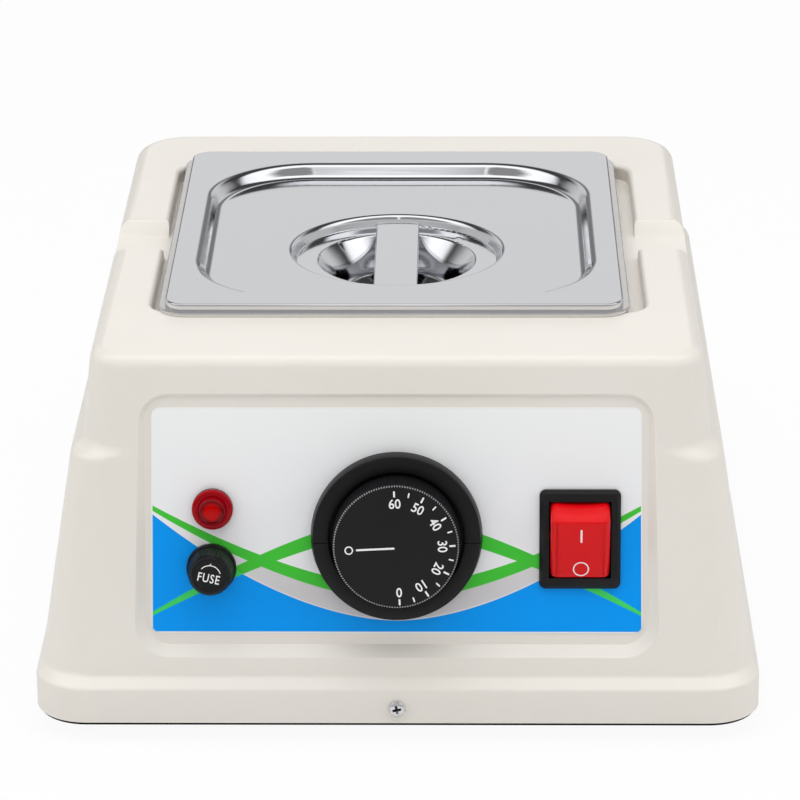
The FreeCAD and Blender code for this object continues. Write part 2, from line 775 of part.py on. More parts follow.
def make_well():
    """Drawn aluminium tub that hangs by its flange from the housing's ledge."""
    body = body_named("heating_well")
    loft(body, "AdditiveLoft", tub_sections(
        body, "well_half_x + well_sheet", "well_half_y + well_sheet",
        "pan_body_corner + well_gap + well_sheet", "flange_face", "well_under",
        "pan_bottom_round + well_gap + well_sheet"))
    flange = sketch_on(body, "XY_Plane", ("0", "0", "flange_seat"))
    outline(flange, box_corners("well_flange_half_x", "opening_half_y - well_flange_gap",
                                "well_flange_corner"))
    pad(body, flange, "well_sheet")
    loft(body, "SubtractiveLoft", tub_sections(
        body, "well_half_x", "well_half_y", "pan_body_corner + well_gap", "flange_face",
        "well_floor", "pan_bottom_round + well_gap"))
    pocket(body, at_well_screws(sketch_on(body, "XY_Plane", ("0", "0", "flange_face")),
                                "well_screw_radius + screw_clearance"), "well_sheet + cut_past")
    stand(body, y="well_shift_y")


def at_well_screws(sketch, radius):
    """Circle at each of the four screws that hold the well's flange."""
    for side_x in ("-", ""):
        for side_y in ("-", ""):
            circle(sketch, side_x + "well_screw_x", side_y + "well_screw_y", radius)
    return sketch


def make_well_gasket():
    """Flat silicone ring between the well's flange and the ledge."""
    body = body_named("well_gasket")
    sketch = sketch_on(body, "XY_Plane", ("0", "0", "well_top"))
    outline(sketch, box_corners("well_flange_half_x", "opening_half_y - well_flange_gap",
                                "well_flange_corner"))
    outline(sketch, box_corners("ledge_hole_half_x", "ledge_hole_half_y", "opening_corner"))
    at_well_screws(sketch, "well_screw_radius + screw_clearance")
    pad(body, sketch, "gasket_thickness")
    stand(body, y="well_shift_y")


def make_well_screws():
    """Four screws that hold the well's flange to the ledge."""
    body = body_named("well_screws")
    pad(body, at_well_screws(sketch_on(body, "XY_Plane", ("0", "0", "flange_face")),
                             "well_screw_head"), "well_head_height")
    chamfer_edges(body, lies_at("flange_face + well_head_height"), "well_head_height / 3")
    pad(body, at_well_screws(sketch_on(body, "XY_Plane", ("0", "0", "flange_face")),
                             "well_screw_radius"), "well_screw_length", reverse=True)
    stand(body, y="well_shift_y")


def floor_half(side):
    """Half size of the well's flat floor along x or y."""
    return (f"well_half_{side} - well_drop * tan(pan_taper)"
            " - pan_bottom_round - well_gap - heater_margin")


def make_heater():
    """Flat silicone heating mat under the well's floor."""
    body = body_named("heater_mat")
    sketch = sketch_on(body, "XY_Plane", ("0", "0", "well_under"))
    outline(sketch, box_corners(floor_half("x"), floor_half("y"), "heater_margin"))
    pad(body, sketch, "heater_thickness", reverse=True)
    stand(body, y="well_shift_y")


def make_insulation_pad():
    """Fibre pad that keeps the heat of the mat off the base."""
    body = body_named("insulation_pad")
    sketch = sketch_on(body, "XY_Plane", ("0", "0", "heater_under"))
    outline(sketch, box_corners(floor_half("x") + " + heater_margin",
                                floor_half("y") + " + heater_margin", "2 * heater_margin"))
    pad(body, sketch, "insulation_thickness", reverse=True)
    stand(body, y="well_shift_y")


def make_insulation_jacket():
    """Fibre jacket round the well's sides and back, open at the front for the bulb."""
    body = body_named("insulation_jacket")
    for kind, outside, spare in (("AdditiveLoft", "jacket_gap + jacket_thickness", "0"),
                                 ("SubtractiveLoft", "jacket_gap", "cut_past")):
        rows = []
        for height in (f"jacket_high + {spare}", f"jacket_low - {spare}"):
            inset = f"(flange_face - ({height})) * tan(pan_taper)"
            rows.append((height, f"well_half_x + well_sheet + {outside} - {inset}",
                         f"well_half_y + well_sheet + {outside} - {inset}",
                         f"pan_body_corner + well_gap + well_sheet + {outside} - {inset}", None))
        loft(body, kind, section_sketches(body, rows))
    front = sketch_on(body, "XY_Plane", ("0", "0", "jacket_high"))
    rectangle(front, "-opening_half_x", "opening_half_x", "-top_half_y",
              "pan_body_corner - well_half_y")
    pocket(body, front, "jacket_high - jacket_low + cut_past")
    stand(body, y="well_shift_y")


def wall_spot_y(height):
    """Depth of the well's front wall outside, at a height, from the housing's centre."""
    return f"well_shift_y - (well_half_y + well_sheet - (flange_face - ({height})) * tan(pan_taper))"


def mount_on_well(piece, height, out="0"):
    """Place a piece that is drawn with z outwards from the well's front wall."""
    piece.Placement = Placement(Vector(), Rotation(Vector(1, 0, 0), 45))
    bind(piece, Placement__Rotation__Angle="90 + pan_taper",
         Placement__Base__y=f"frame_y + {wall_spot_y(height)} - ({out}) * cos(pan_taper)",
         Placement__Base__z=f"rim_height + {height} - ({out}) * sin(pan_taper)")


def make_sensor_bulb():
    """Copper bulb of the thermostat, lying across the well's front wall."""
    body = body_named("sensor_bulb")
    sketch = circle(sketch_on(body, "YZ_Plane"), "0", "bulb_radius + bulb_gap", "bulb_radius")
    pad_both_ways(body, sketch, "bulb_length")
    side = value("bulb_length") / 2
    round_edges(body, lambda edge: abs(abs(edge.CenterOfMass.x) - side) < 0.01, "bulb_radius / 2")
    mount_on_well(body, "bulb_height")


def make_bulb_clip():
    """Sheet saddle that presses the bulb to the well."""
    body = body_named("bulb_clip")
    inner, outer = "bulb_radius + bulb_gap", "bulb_radius + bulb_gap + clip_sheet"
    crown = "2 * bulb_radius + 2 * bulb_gap"
    tip = outer + " + clip_wing"
    saddle = outline(sketch_on(body, "YZ_Plane"), [
        (f"-({tip})", "0"), (f"-({inner})", "0"),
        (f"-({inner})", crown, "bulb_radius"), (inner, crown, "bulb_radius"),
        (inner, "0"), (tip, "0"), (tip, "clip_sheet"), (outer, "clip_sheet", "clip_sheet / 2"),
        (outer, f"{crown} + clip_sheet", "bulb_radius + clip_sheet"),
        (f"-({outer})", f"{crown} + clip_sheet", "bulb_radius + clip_sheet"),
        (f"-({outer})", "clip_sheet", "clip_sheet / 2"), (f"-({tip})", "clip_sheet")])
    pad_both_ways(body, saddle, "clip_width")
    mount_on_well(body, "bulb_height")


def make_capillary():
    """Thin copper tube from the bulb's end to the side of the thermostat."""
    bulb_out = "(bulb_radius + bulb_gap)"
    bulb_y = f"{wall_spot_y('bulb_height')} - {bulb_out} * cos(pan_taper)"
    bulb_z = f"bulb_height - {bulb_out} * sin(pan_taper)"
    side_x = "-bulb_length / 2 - capillary_reach"
    behind = "(panel_wall + thermostat_depth / 2)"
    case_y = f"panel_y + {behind} * cos(panel_lean)"
    case_z = f"knob_height - {behind} * sin(panel_lean)"
    corners = [("-bulb_length / 2", bulb_y, bulb_z), (side_x, bulb_y, bulb_z),
               (side_x, case_y, case_z), ("-thermostat_width / 2", case_y, case_z)]
    points = [Vector(value(x), value(f"frame_y + {y}"), value(f"rim_height + {z}"))
              for x, y, z in corners]
    edges, start = [], points[0]
    for before, here, after in zip(points, points[1:], points[2:]):
        back, ahead = before - here, after - here
        reach = min(back.Length, ahead.Length, value("2 * capillary_reach")) / 2
        half_angle = back.getAngle(ahead) / 2
        arrive = here + back.normalize() * reach
        leave = here + ahead.normalize() * reach
        bend = reach * math.tan(half_angle)
        middle = here + (back + ahead).normalize() * (bend / math.sin(half_angle) - bend)
        edges += [Part.LineSegment(start, arrive).toShape(),
                  Part.Arc(arrive, middle, leave).toShape()]
        start = leave
    edges.append(Part.LineSegment(start, points[-1]).toShape())
    ring = Part.Circle(points[0], points[1] - points[0], value("capillary_radius")).toShape()
    piece = doc.addObject("Part::Feature", "capillary_tube")
    piece.Label = "capillary_tube"
    piece.Shape = Part.Wire(edges).makePipeShell([Part.Wire(ring)], True, False)
    pieces.append(piece)


def make_pan():
    """Drawn steel food pan with a flat rim that hangs on the housing's top."""
    body = body_named("food_pan")
    bottom = "pan_rim_thickness - pan_depth"
    loft(body, "AdditiveLoft", tub_sections(
        body, "pan_mouth_x", "pan_mouth_y", "pan_body_corner", "pan_rim_thickness", bottom,
        "pan_bottom_round"))
    rim = outline(sketch_on(body, "XY_Plane"), box_corners("pan_half_x", "pan_half_y", "pan_corner"))
    pad(body, rim, "pan_rim_thickness")
    loft(body, "SubtractiveLoft", tub_sections(
        body, "pan_mouth_x - pan_sheet", "pan_mouth_y - pan_sheet", "pan_body_corner - pan_sheet",
        "pan_rim_thickness", f"{bottom} + pan_sheet", "pan_bottom_round - pan_sheet"))
    stand(body, "pan_shift_x", "well_shift_y", "case_height")


def make_lid():
    """Pressed steel lid: a folded edge, a shallow tray and a round grip cup."""
    body = body_named("lid_plate")
    tray_floor = "lid_skirt - tray_depth"
    ledge = tray_floor + " - ring_depth"
    plate = outline(sketch_on(body, "XY_Plane"), box_corners("lid_half_x", "lid_half_y", "lid_corner"))
    pad(body, plate, "lid_skirt")
    round_edges(body, lies_at("lid_skirt"), "lid_sheet")
    under = outline(sketch_on(body, "XY_Plane", ("0", "0", "lid_skirt - lid_sheet")), box_corners(
        "lid_half_x - lid_sheet", "lid_half_y - lid_sheet", "lid_corner - lid_sheet"))
    pocket(body, under, "lid_skirt")

    def tray(sheet):
        rows = []
        for drop, run in (("0", "0"), ("tray_depth", "tray_run")):
            rows.append((f"lid_skirt - {drop}", f"tray_half_x + {sheet} - {run}",
                         f"tray_half_y + {sheet} - {run}", f"tray_corner + {sheet} - {run}", None))
        return rows

    outside = tray("lid_sheet")
    outside[1] = (outside[1][0] + " - lid_sheet",) + outside[1][1:]
    loft(body, "AdditiveLoft", section_sketches(body, outside, "tray_shift_y"))
    turn(body, [("0", f"{ledge} - cup_depth - lid_sheet"),
                ("cup_floor_radius", f"{ledge} - cup_depth - lid_sheet", "cup_floor_radius / 3 + lid_sheet"),
                ("cup_radius + lid_sheet", f"{ledge} - lid_sheet", "lid_sheet"),
                ("ring_radius - ring_run + lid_sheet", f"{ledge} - lid_sheet", "2 * lid_sheet"),
                ("ring_radius + lid_sheet", f"{tray_floor} - lid_sheet / 2"),
                ("0", f"{tray_floor} - lid_sheet / 2")], y="cup_shift_y")
    loft(body, "SubtractiveLoft", section_sketches(body, tray("0"), "tray_shift_y"))
    turn(body, [("0", f"{ledge} - cup_depth"),
                ("cup_floor_radius", f"{ledge} - cup_depth", "cup_floor_radius / 3"),
                ("cup_radius", ledge, "2 * lid_sheet"),
                ("ring_radius - ring_run", ledge, "lid_sheet"),
                ("ring_radius", tray_floor),
                ("0", tray_floor)], kind="Groove", y="cup_shift_y")
    stand(body, "pan_shift_x", "well_shift_y", "case_height + pan_rim_thickness")


def make_lid_handle():
    """Flat strap welded across the grip cup."""
    body = body_named("lid_handle")
    strap = sketch_on(body, "XY_Plane", ("0", "0", "lid_skirt - tray_depth - ring_depth"))
    outline(strap, box_corners("strap_width / 2", "strap_length / 2", "strap_corner",
                               y="cup_shift_y"))
    pad(body, strap, "strap_thickness")
    round_edges(body, lies_at("lid_skirt - tray_depth - ring_depth + strap_thickness"),
                "strap_thickness / 4")
    stand(body, "pan_shift_x", "well_shift_y", "case_height + pan_rim_thickness")


def at_thermostat_screws(sketch, radius):
    """Circle at each of the two screws beside the dial's shaft."""
    for side in ("-", ""):
        circle(sketch, side + "thermostat_screw_pitch / 2", "0", radius)
    return sketch


def make_overlay():
    """Printed film on the sunk panel, with a hole for each control."""
    body = body_named("control_overlay")
    sketch = sketch_on(body, "XY_Plane")
    outline(sketch, [("-overlay_half_bottom", "-overlay_below", "overlay_corner"),
                     ("overlay_half_bottom", "-overlay_below", "overlay_corner"),
                     ("overlay_half_top", "overlay_above", "overlay_corner"),
                     ("-overlay_half_top", "overlay_above", "overlay_corner")])
    circle(sketch, "0", "0", "shaft_hole_radius")
    at_thermostat_screws(sketch, "thermostat_screw_radius + screw_clearance")
    circle(sketch, "lamp_x", "lamp_rise", "lamp_body_radius + screw_clearance")
    circle(sketch, "fuse_x", "-fuse_drop", "fuse_body_radius + screw_clearance")
    outline(sketch, box_corners("switch_body_half_width + switch_gap",
                                "switch_body_half_height + switch_gap", "switch_body_corner",
                                x="switch_x", y="-switch_drop"))
    pad(body, sketch, "overlay_thickness")
    mount_on_panel(body)


def make_bezel():
    """Black ring round the dial, with a floor that the thermostat's screws clamp."""
    body = body_named("thermostat_bezel")
    turn(body, [("0", "overlay_thickness"), ("bezel_radius", "overlay_thickness"),
                ("bezel_face_radius", "bezel_height", "bezel_edge_round"),
                ("bezel_mouth_radius + bezel_edge_round", "bezel_height", "bezel_edge_round / 2"),
                ("bezel_mouth_radius", "bezel_height - 2 * bezel_edge_round"),
                ("bezel_mouth_radius", "bezel_inside"), ("0", "bezel_inside")])
    holes = sketch_on(body, "XY_Plane", ("0", "0", "bezel_inside"))
    circle(holes, "0", "0", "shaft_hole_radius")
    at_thermostat_screws(holes, "thermostat_screw_radius + screw_clearance")
    pocket(body, holes, "2 * bezel_floor")
    mount_on_panel(body)


def make_knob():
    """Hollow fluted knob with a hub that takes the flatted shaft."""
    body = body_named("control_knob")
    turn(body, [("0", "knob_back"), ("knob_radius", "knob_back"),
                ("knob_face_radius", "knob_reach", "knob_edge_round"), ("0", "knob_reach")])
    turn(body, [("knob_hub_radius", "knob_back"), ("knob_radius - knob_wall", "knob_back"),
                ("knob_face_radius - knob_wall", "knob_reach - knob_wall"),
                ("knob_hub_radius", "knob_reach - knob_wall")], kind="Groove")
    flutes(body, "knob_flutes", "knob_back - cut_past", "knob_radius", "knob_reach + cut_past",
           "knob_face_radius")
    bore = sketch_on(body, "XY_Plane", ("0", "0", "knob_back"))
    pocket(body, circle(bore, "0", "0", "shaft_radius + shaft_fit"), "shaft_in_knob", reverse=True)
    flat = sketch_on(body, "XY_Plane", ("0", "0", "knob_back"))
    rectangle(flat, "shaft_flat + shaft_fit", "shaft_radius + cut_past", "-shaft_radius", "shaft_radius")
    pad(body, flat, "shaft_in_knob")
    mount_on_panel(body)


def make_shaft():
    """Thermostat's shaft, with a flat where the knob pushes on."""
    body = body_named("thermostat_shaft")
    foot = sketch_on(body, "XY_Plane", ("0", "0", "-panel_wall - shaft_in_body + shaft_end_gap"))
    pad(body, circle(foot, "0", "0", "shaft_radius"),
        "panel_wall + shaft_in_body + knob_back + shaft_in_knob - 2 * shaft_end_gap")
    flat = sketch_on(body, "XY_Plane", ("0", "0", "knob_back + shaft_in_knob"))
    rectangle(flat, "shaft_flat", "shaft_radius + cut_past", "-shaft_radius", "shaft_radius")
    pocket(body, flat, "shaft_in_knob + knob_lift")
    mount_on_panel(body)


def make_thermostat():
    """Thermostat's case behind the panel, with the bush that the shaft turns in."""
    body = body_named("thermostat_body")
    case = sketch_on(body, "XY_Plane", ("0", "0", "-panel_wall"))
    outline(case, box_corners("thermostat_width / 2", "thermostat_height / 2", "thermostat_corner"))
    pad(body, case, "thermostat_depth", reverse=True)
    neck = sketch_on(body, "XY_Plane", ("0", "0", "-panel_wall"))
    pad(body, circle(neck, "0", "0", "bush_radius"), "panel_wall + bezel_inside - bush_shortfall")
    bore = sketch_on(body, "XY_Plane", ("0", "0", "bezel_inside - bush_shortfall"))
    pocket(body, circle(bore, "0", "0", "shaft_radius + shaft_fit"),
           "bezel_inside - bush_shortfall + panel_wall + shaft_in_body")
    holes = sketch_on(body, "XY_Plane", ("0", "0", "-panel_wall"))
    pocket(body, at_thermostat_screws(holes, "thermostat_screw_radius + screw_fit"),
           "thermostat_screw_length - bezel_inside - panel_wall + shaft_end_gap")
    mount_on_panel(body)


def make_thermostat_screws():
    """Two screws that clamp bezel, panel and thermostat together."""
    body = body_named("thermostat_screws")
    level = ("0", "0", "bezel_inside")
    pad(body, at_thermostat_screws(sketch_on(body, "XY_Plane", level), "thermostat_screw_head"),
        "thermostat_head_height")
    chamfer_edges(body, lies_at("bezel_inside + thermostat_head_height"), "thermostat_head_height / 3")
    pad(body, at_thermostat_screws(sketch_on(body, "XY_Plane", level), "thermostat_screw_radius"),
        "thermostat_screw_length", reverse=True)
    mount_on_panel(body)


def blades(name, back, places, x, up):
    """Flat push-on terminals that stand out of a control's back."""
    body = body_named(name)
    sketch = sketch_on(body, "XY_Plane", ("0", "0", back))
    for across, along in places:
        rectangle(sketch, f"{across} - terminal_width / 2", f"{across} + terminal_width / 2",
                  f"{along} - terminal_thickness / 2", f"{along} + terminal_thickness / 2")
    pad(body, sketch, "terminal_length", reverse=True)
    mount_on_panel(body, x, up)


def make_lamp():
    """Pilot lamp: barrel with a thin base, red lens on it, and a nut behind the panel."""
    body = body_named("lamp_body")
    turn(body, [("0", "-lamp_body_length"), ("lamp_body_radius", "-lamp_body_length"),
                ("lamp_body_radius", "overlay_thickness"), ("lamp_flange_radius", "overlay_thickness"),
                ("lamp_flange_radius", "lamp_seat"), ("0", "lamp_seat")])
    mount_on_panel(body, "lamp_x", "lamp_rise")
    lens = body_named("lamp_lens")
    turn(lens, [("0", "lamp_seat"), ("lamp_flange_radius", "lamp_seat"),
                ("lamp_flange_radius", "lamp_flange_height", "lamp_edge_round"),
                ("lamp_dome_radius", "lamp_flange_height"),
                ("lamp_dome_radius", "lamp_dome_height", "lamp_dome_radius / 2"),
                ("0", "lamp_dome_height")])
    mount_on_panel(lens, "lamp_x", "lamp_rise")
    panel_nut("lamp_nut", "lamp_nut_across", "lamp_nut_height", "lamp_body_radius",
              "lamp_x", "lamp_rise")


def panel_nut(name, across, height, radius, x, up):
    """Hexagon nut that holds a control from behind the panel."""
    body = body_named(name)
    sketch = hexagon(sketch_on(body, "XY_Plane", ("0", "0", "-panel_wall")), across)
    circle(sketch, "0", "0", f"{radius} + screw_fit")
    pad(body, sketch, height, reverse=True)
    mount_on_panel(body, x, up)


def make_fuse_holder():
    """Panel fuse holder: flanged barrel, nut, turning cap, and the fuse that it holds."""
    body = body_named("fuse_holder_body")
    turn(body, [("0", "-fuse_body_length"), ("fuse_body_radius", "-fuse_body_length"),
                ("fuse_body_radius", "overlay_thickness"), ("fuse_flange_radius", "overlay_thickness"),
                ("fuse_flange_radius", "fuse_seat", "fuse_flange_height / 3"), ("0", "fuse_seat")])
    bore = sketch_on(body, "XY_Plane", ("0", "0", "fuse_seat"))
    pocket(body, circle(bore, "0", "0", "fuse_bore_radius"),
           "fuse_plug_length - fuse_in_plug + fuse_length + shaft_end_gap")
    mount_on_panel(body, "fuse_x", "-fuse_drop")
    panel_nut("fuse_holder_nut", "fuse_nut_across", "fuse_nut_height", "fuse_body_radius",
              "fuse_x", "-fuse_drop")

    cap = body_named("fuse_cap")
    turn(cap, [("0", "fuse_cap_seat"), ("fuse_cap_radius", "fuse_cap_seat"),
               ("fuse_cap_radius - fuse_cap_draft", "fuse_cap_reach - fuse_cap_bevel"),
               ("fuse_cap_face_radius", "fuse_cap_reach", "fuse_cap_bevel / 2"),
               ("0", "fuse_cap_reach")])
    flutes(cap, "fuse_cap_flutes", "fuse_cap_seat - cut_past", "fuse_cap_radius",
           "fuse_cap_reach - fuse_cap_bevel", "fuse_cap_radius - fuse_cap_draft")
    plug = sketch_on(cap, "XY_Plane", ("0", "0", "fuse_cap_seat"))
    pad(cap, circle(plug, "0", "0", "fuse_plug_radius"), "fuse_plug_length", reverse=True)
    socket = sketch_on(cap, "XY_Plane", ("0", "0", "fuse_cap_seat - fuse_plug_length"))
    pocket(cap, circle(socket, "0", "0", "fuse_radius + fuse_fit"), "fuse_in_plug + shaft_end_gap",
           reverse=True)
    mount_on_panel(cap, "fuse_x", "-fuse_drop")

    glass = body_named("fuse_glass")
    top = "fuse_cap_seat - fuse_plug_length + fuse_in_plug"
    tube = sketch_on(glass, "XY_Plane", ("0", "0", f"{top} - fuse_end_length"))
    pad(glass, circle(tube, "0", "0", "fuse_radius"), "fuse_length - 2 * fuse_end_length", reverse=True)
    mount_on_panel(glass, "fuse_x", "-fuse_drop")
    ends = body_named("fuse_end_caps")
    for level in (top, f"{top} - fuse_length + fuse_end_length"):
        sketch = sketch_on(ends, "XY_Plane", ("0", "0", level))
        pad(ends, circle(sketch, "0", "0", "fuse_radius"), "fuse_end_length", reverse=True)
    mount_on_panel(ends, "fuse_x", "-fuse_drop")


def make_switch():
    """Mains switch: snap-in housing and the rocker that tips in it."""
    body = body_named("switch_housing")
    level = ("0", "0", "overlay_thickness")
    frame = outline(sketch_on(body, "XY_Plane", level), box_corners(
        "switch_half_width", "switch_half_height", "switch_corner"))
    pad(body, frame, "switch_flange")
    chamfer_edges(body, lies_at("switch_face"), "switch_chamfer")
    case = outline(sketch_on(body, "XY_Plane", level), box_corners(
        "switch_body_half_width", "switch_body_half_height", "switch_body_corner"))
    pad(body, case, "switch_body_depth + overlay_thickness", reverse=True)
    drum = circle(sketch_on(body, "YZ_Plane"), "0", "rocker_pivot", "rocker_radius + rocker_gap")
    pocket_both_ways(body, drum, "2 * rocker_half_width + 2 * rocker_gap")
    pins = circle(sketch_on(body, "YZ_Plane"), "0", "rocker_pivot", "rocker_pin_radius + shaft_fit")
    pocket_both_ways(body, pins, "2 * rocker_half_width + 2 * rocker_pin_length + 2 * shaft_fit")
    mount_on_panel(body, "switch_x", "-switch_drop")

    rocker = body_named("switch_rocker")
    pad_both_ways(rocker, circle(sketch_on(rocker, "YZ_Plane"), "0", "0", "rocker_radius"),
                  "2 * rocker_half_width")
    beyond = "rocker_radius + cut_past"
    for near, far in (("rocker_chord", beyond), (f"-({beyond})", "-rocker_depth_below")):
        off = rectangle(sketch_on(rocker, "YZ_Plane"), f"-({beyond})", beyond, near, far)
        pocket(rocker, off)
    pins = circle(sketch_on(rocker, "YZ_Plane"), "0", "0", "rocker_pin_radius")
    pad_both_ways(rocker, pins, "2 * rocker_half_width + 2 * rocker_pin_length")
    mount_on_panel(rocker, "switch_x", "-switch_drop", "rocker_pivot", "rocker_rest_angle")


def at_feet(sketch, radius):
    """Circle at each of the four feet."""
    for side_x in ("-", ""):
        for side_y in ("-", ""):
            circle(sketch, f"{side_x}(base_half_x - foot_inset_x)",
                   f"{side_y}(base_half_y - foot_inset_y)", radius)
    return sketch


def make_base_plate():
    """Sheet base with vent slots, turned-up tabs and holes for the feet."""
    body = body_named("base_plate")
    sheet = outline(sketch_on(body, "XY_Plane"), box_corners(
        "base_half_x - plate_inset", "base_half_y - plate_inset",
        "corner_front_base - plate_inset", "corner_rear_base - plate_inset"))
    pad(body, sheet, "plate_thickness", reverse=True)
    face_x, face_y = ("base_half_x - case_wall - tab_gap", "base_half_y - case_wall - tab_gap")
    tabs = sketch_on(body, "XY_Plane")
    for side in ("-", ""):
        near, far = sorted((f"{side}({face_y} - plate_thickness)", f"{side}({face_y})"), key=value)
        rectangle(tabs, "-tab_width / 2", "tab_width / 2", near, far)
        near, far = sorted((f"{side}({face_x} - plate_thickness)", f"{side}({face_x})"), key=value)
        rectangle(tabs, near, far, "-tab_width / 2", "tab_width / 2")
    pad(body, tabs, "tab_height")
    for role in ("XZ_Plane", "YZ_Plane"):
        pocket(body, circle(sketch_on(body, role), "0", "skirt_screw_height",
                            "skirt_screw_radius + screw_fit"))
    holes = at_feet(sketch_on(body, "XY_Plane"), "foot_screw_radius + screw_clearance")
    pocket(body, holes, "2 * plate_thickness")
    slots = sketch_on(body, "XY_Plane")
    for side in ("-", ""):
        outline(slots, box_corners("vent_width / 2", "vent_length / 2", "vent_corner",
                                   x="-(vent_rows - 1) / 2 * vent_pitch", y=f"{side}vent_spread"))
    row = body.newObject("PartDesign::LinearPattern", "base_plate_vents")
    row.Originals = [pocket(body, slots, "2 * plate_thickness")]
    row.Direction = (next(item for item in body.Origin.OriginFeatures if item.Role == "X_Axis"), [""])
    bind(row, Length="(vent_rows - 1) * vent_pitch", Occurrences="vent_rows")
    body.Tip = row
    stand(body)


def make_feet():
    """Four rubber feet, their screws and the nuts on the base plate."""
    feet = body_named("rubber_feet")
    under = ("0", "0", "-plate_thickness")
    item = pad(feet, at_feet(sketch_on(feet, "XY_Plane", under), "foot_radius"), "foot_height",
               reverse=True)
    bind(item, TaperAngle="-foot_taper")
    floor = ("0", "0", "-rim_height")
    pocket(feet, at_feet(sketch_on(feet, "XY_Plane", floor), "foot_recess_radius"), "foot_recess",
           reverse=True)
    pocket(feet, at_feet(sketch_on(feet, "XY_Plane", floor), "foot_screw_radius + screw_clearance"),
           "foot_height + cut_past", reverse=True)
    stand(feet)

    screws = body_named("foot_screws")
    seat = ("0", "0", "foot_recess - rim_height")
    pad(screws, at_feet(sketch_on(screws, "XY_Plane", seat), "foot_screw_head"),
        "foot_head_height", reverse=True)
    pad(screws, at_feet(sketch_on(screws, "XY_Plane", seat), "foot_screw_radius"),
        "rim_height - foot_recess + foot_nut_height + foot_screw_spare")
    stand(screws)

    nuts = body_named("foot_nuts")
    sketch = sketch_on(nuts, "XY_Plane")
    for side_x in ("-", ""):
        for side_y in ("-", ""):
            hexagon(sketch, "foot_nut_across", f"{side_x}(base_half_x - foot_inset_x)",
                    f"{side_y}(base_half_y - foot_inset_y)")
    at_feet(sketch, "foot_screw_radius + screw_fit")
    pad(nuts, sketch, "foot_nut_height")
    stand(nuts)


def make_skirt_screws():
    """One screw through the middle of each side of the housing's skirt."""
    body = body_named("skirt_screws")
    for role, half in (("XZ_Plane", "base_half_y"), ("YZ_Plane", "base_half_x")):
        for near in (True, False):
            level = ("0", "0", half if near else f"-({half})")
            head = circle(sketch_on(body, role, level), "0", "skirt_screw_height",
                          "skirt_screw_head")
            pad(body, head, "skirt_head_height", reverse=not near)
            shank = circle(sketch_on(body, role, level), "0", "skirt_screw_height",
                           "skirt_screw_radius")
            pad(body, shank, "skirt_screw_length", reverse=near)
    stand(body)


def make_gland():
    """Cable gland at the back: body, dome nut, rubber seal and lock nut."""
    wall = "case_wall * cos(lean_front)"
    body = body_named("cable_gland_body")
    pad(body, hexagon(sketch_on(body, "XY_Plane"), "gland_across"), "gland_hex_height")
    pad(body, circle(sketch_on(body, "XY_Plane"), "0", "0", "gland_radius"),
        f"{wall} + gland_thread_length", reverse=True)
    top = ("0", "0", "gland_hex_height")
    pad(body, circle(sketch_on(body, "XY_Plane", top), "0", "0", "gland_neck_radius"),
        "gland_neck_height")
    pocket(body, circle(sketch_on(body, "XY_Plane"), "0", "0", "gland_bore"))
    mount_on_rear(body)

    dome = body_named("gland_dome_nut")
    roof = "gland_hex_height + gland_dome_height - gland_roof"
    turn(dome, [("gland_neck_radius + screw_fit", "gland_hex_height"),
                ("gland_dome_radius", "gland_hex_height"),
                ("gland_dome_radius", roof, "gland_roof / 2"),
                ("gland_tip_radius", "gland_hex_height + gland_dome_height", "gland_roof / 4"),
                ("cable_bore + gland_lip", "gland_hex_height + gland_dome_height"),
                ("cable_bore + gland_lip", roof), ("gland_neck_radius + screw_fit", roof)])
    mount_on_rear(dome)

    seal = body_named("gland_seal")
    turn(seal, [("cable_bore", "0"), ("gland_bore - screw_fit", "0"),
                ("gland_bore - screw_fit", roof), ("cable_bore", roof)])
    mount_on_rear(seal)

    nut = body_named("gland_locknut")
    sketch = hexagon(sketch_on(nut, "XY_Plane", ("0", "0", f"-{wall}")), "gland_across")
    circle(sketch, "0", "0", "gland_radius + screw_fit")
    pad(nut, sketch, "gland_nut_height", reverse=True)
    mount_on_rear(nut)


def make_terminal_block():
    """Three-pole terminal block on the base plate, by the cable entry."""
    body = body_named("terminal_block")
    slab = outline(sketch_on(body, "XY_Plane"), box_corners(
        "block_width / 2", "block_depth / 2", "block_corner"))
    pad(body, slab, "block_height - block_pole_rise")
    poles = sketch_on(body, "XY_Plane", ("0", "0", "block_height - block_pole_rise"))
    wells = sketch_on(body, "XY_Plane", ("0", "0", "block_height"))
    screws = body_named("terminal_screws")
    heads = sketch_on(screws, "XY_Plane", ("0", "0", "block_height - block_pole_rise"))
    for pole in (-1, 0, 1):
        middle = f"{pole} * block_pole_pitch"
        rectangle(poles, f"{middle} - block_pole_width / 2", f"{middle} + block_pole_width / 2",
                  "block_margin - block_depth / 2", "block_depth / 2 - block_margin")
        circle(wells, middle, "0", "block_screw_radius + screw_fit")
        circle(heads, middle, "0", "block_screw_radius")
    pad(body, poles, "block_pole_rise")
    pocket(body, wells, "block_pole_rise")
    pad(screws, heads, "block_pole_rise / 2")
    for piece in (body, screws):
        stand(piece, "block_x", "block_y")


make_casing()
make_well()
make_well_gasket()
make_well_screws()
make_heater()
make_insulation_pad()
make_insulation_jacket()
make_sensor_bulb()
make_bulb_clip()
make_capillary()
make_pan()
make_lid()
make_lid_handle()
make_overlay()
make_bezel()
make_knob()
make_shaft()
make_thermostat()
make_thermostat_screws()
blades("thermostat_terminals", "-panel_wall - thermostat_depth",
       [("-terminal_pitch / 2", "0"), ("terminal_pitch / 2", "0")], "0", "0")
make_lamp()
make_fuse_holder()
make_switch()
blades("switch_terminals", "-switch_body_depth",
       [(f"{side_x}terminal_pitch / 3", f"{side_y}terminal_pitch / 2")
        for side_x in ("-", "") for side_y in ("-", "")], "switch_x", "-switch_drop")
make_base_plate()
make_feet()
make_skirt_screws()
make_gland()
make_terminal_block()


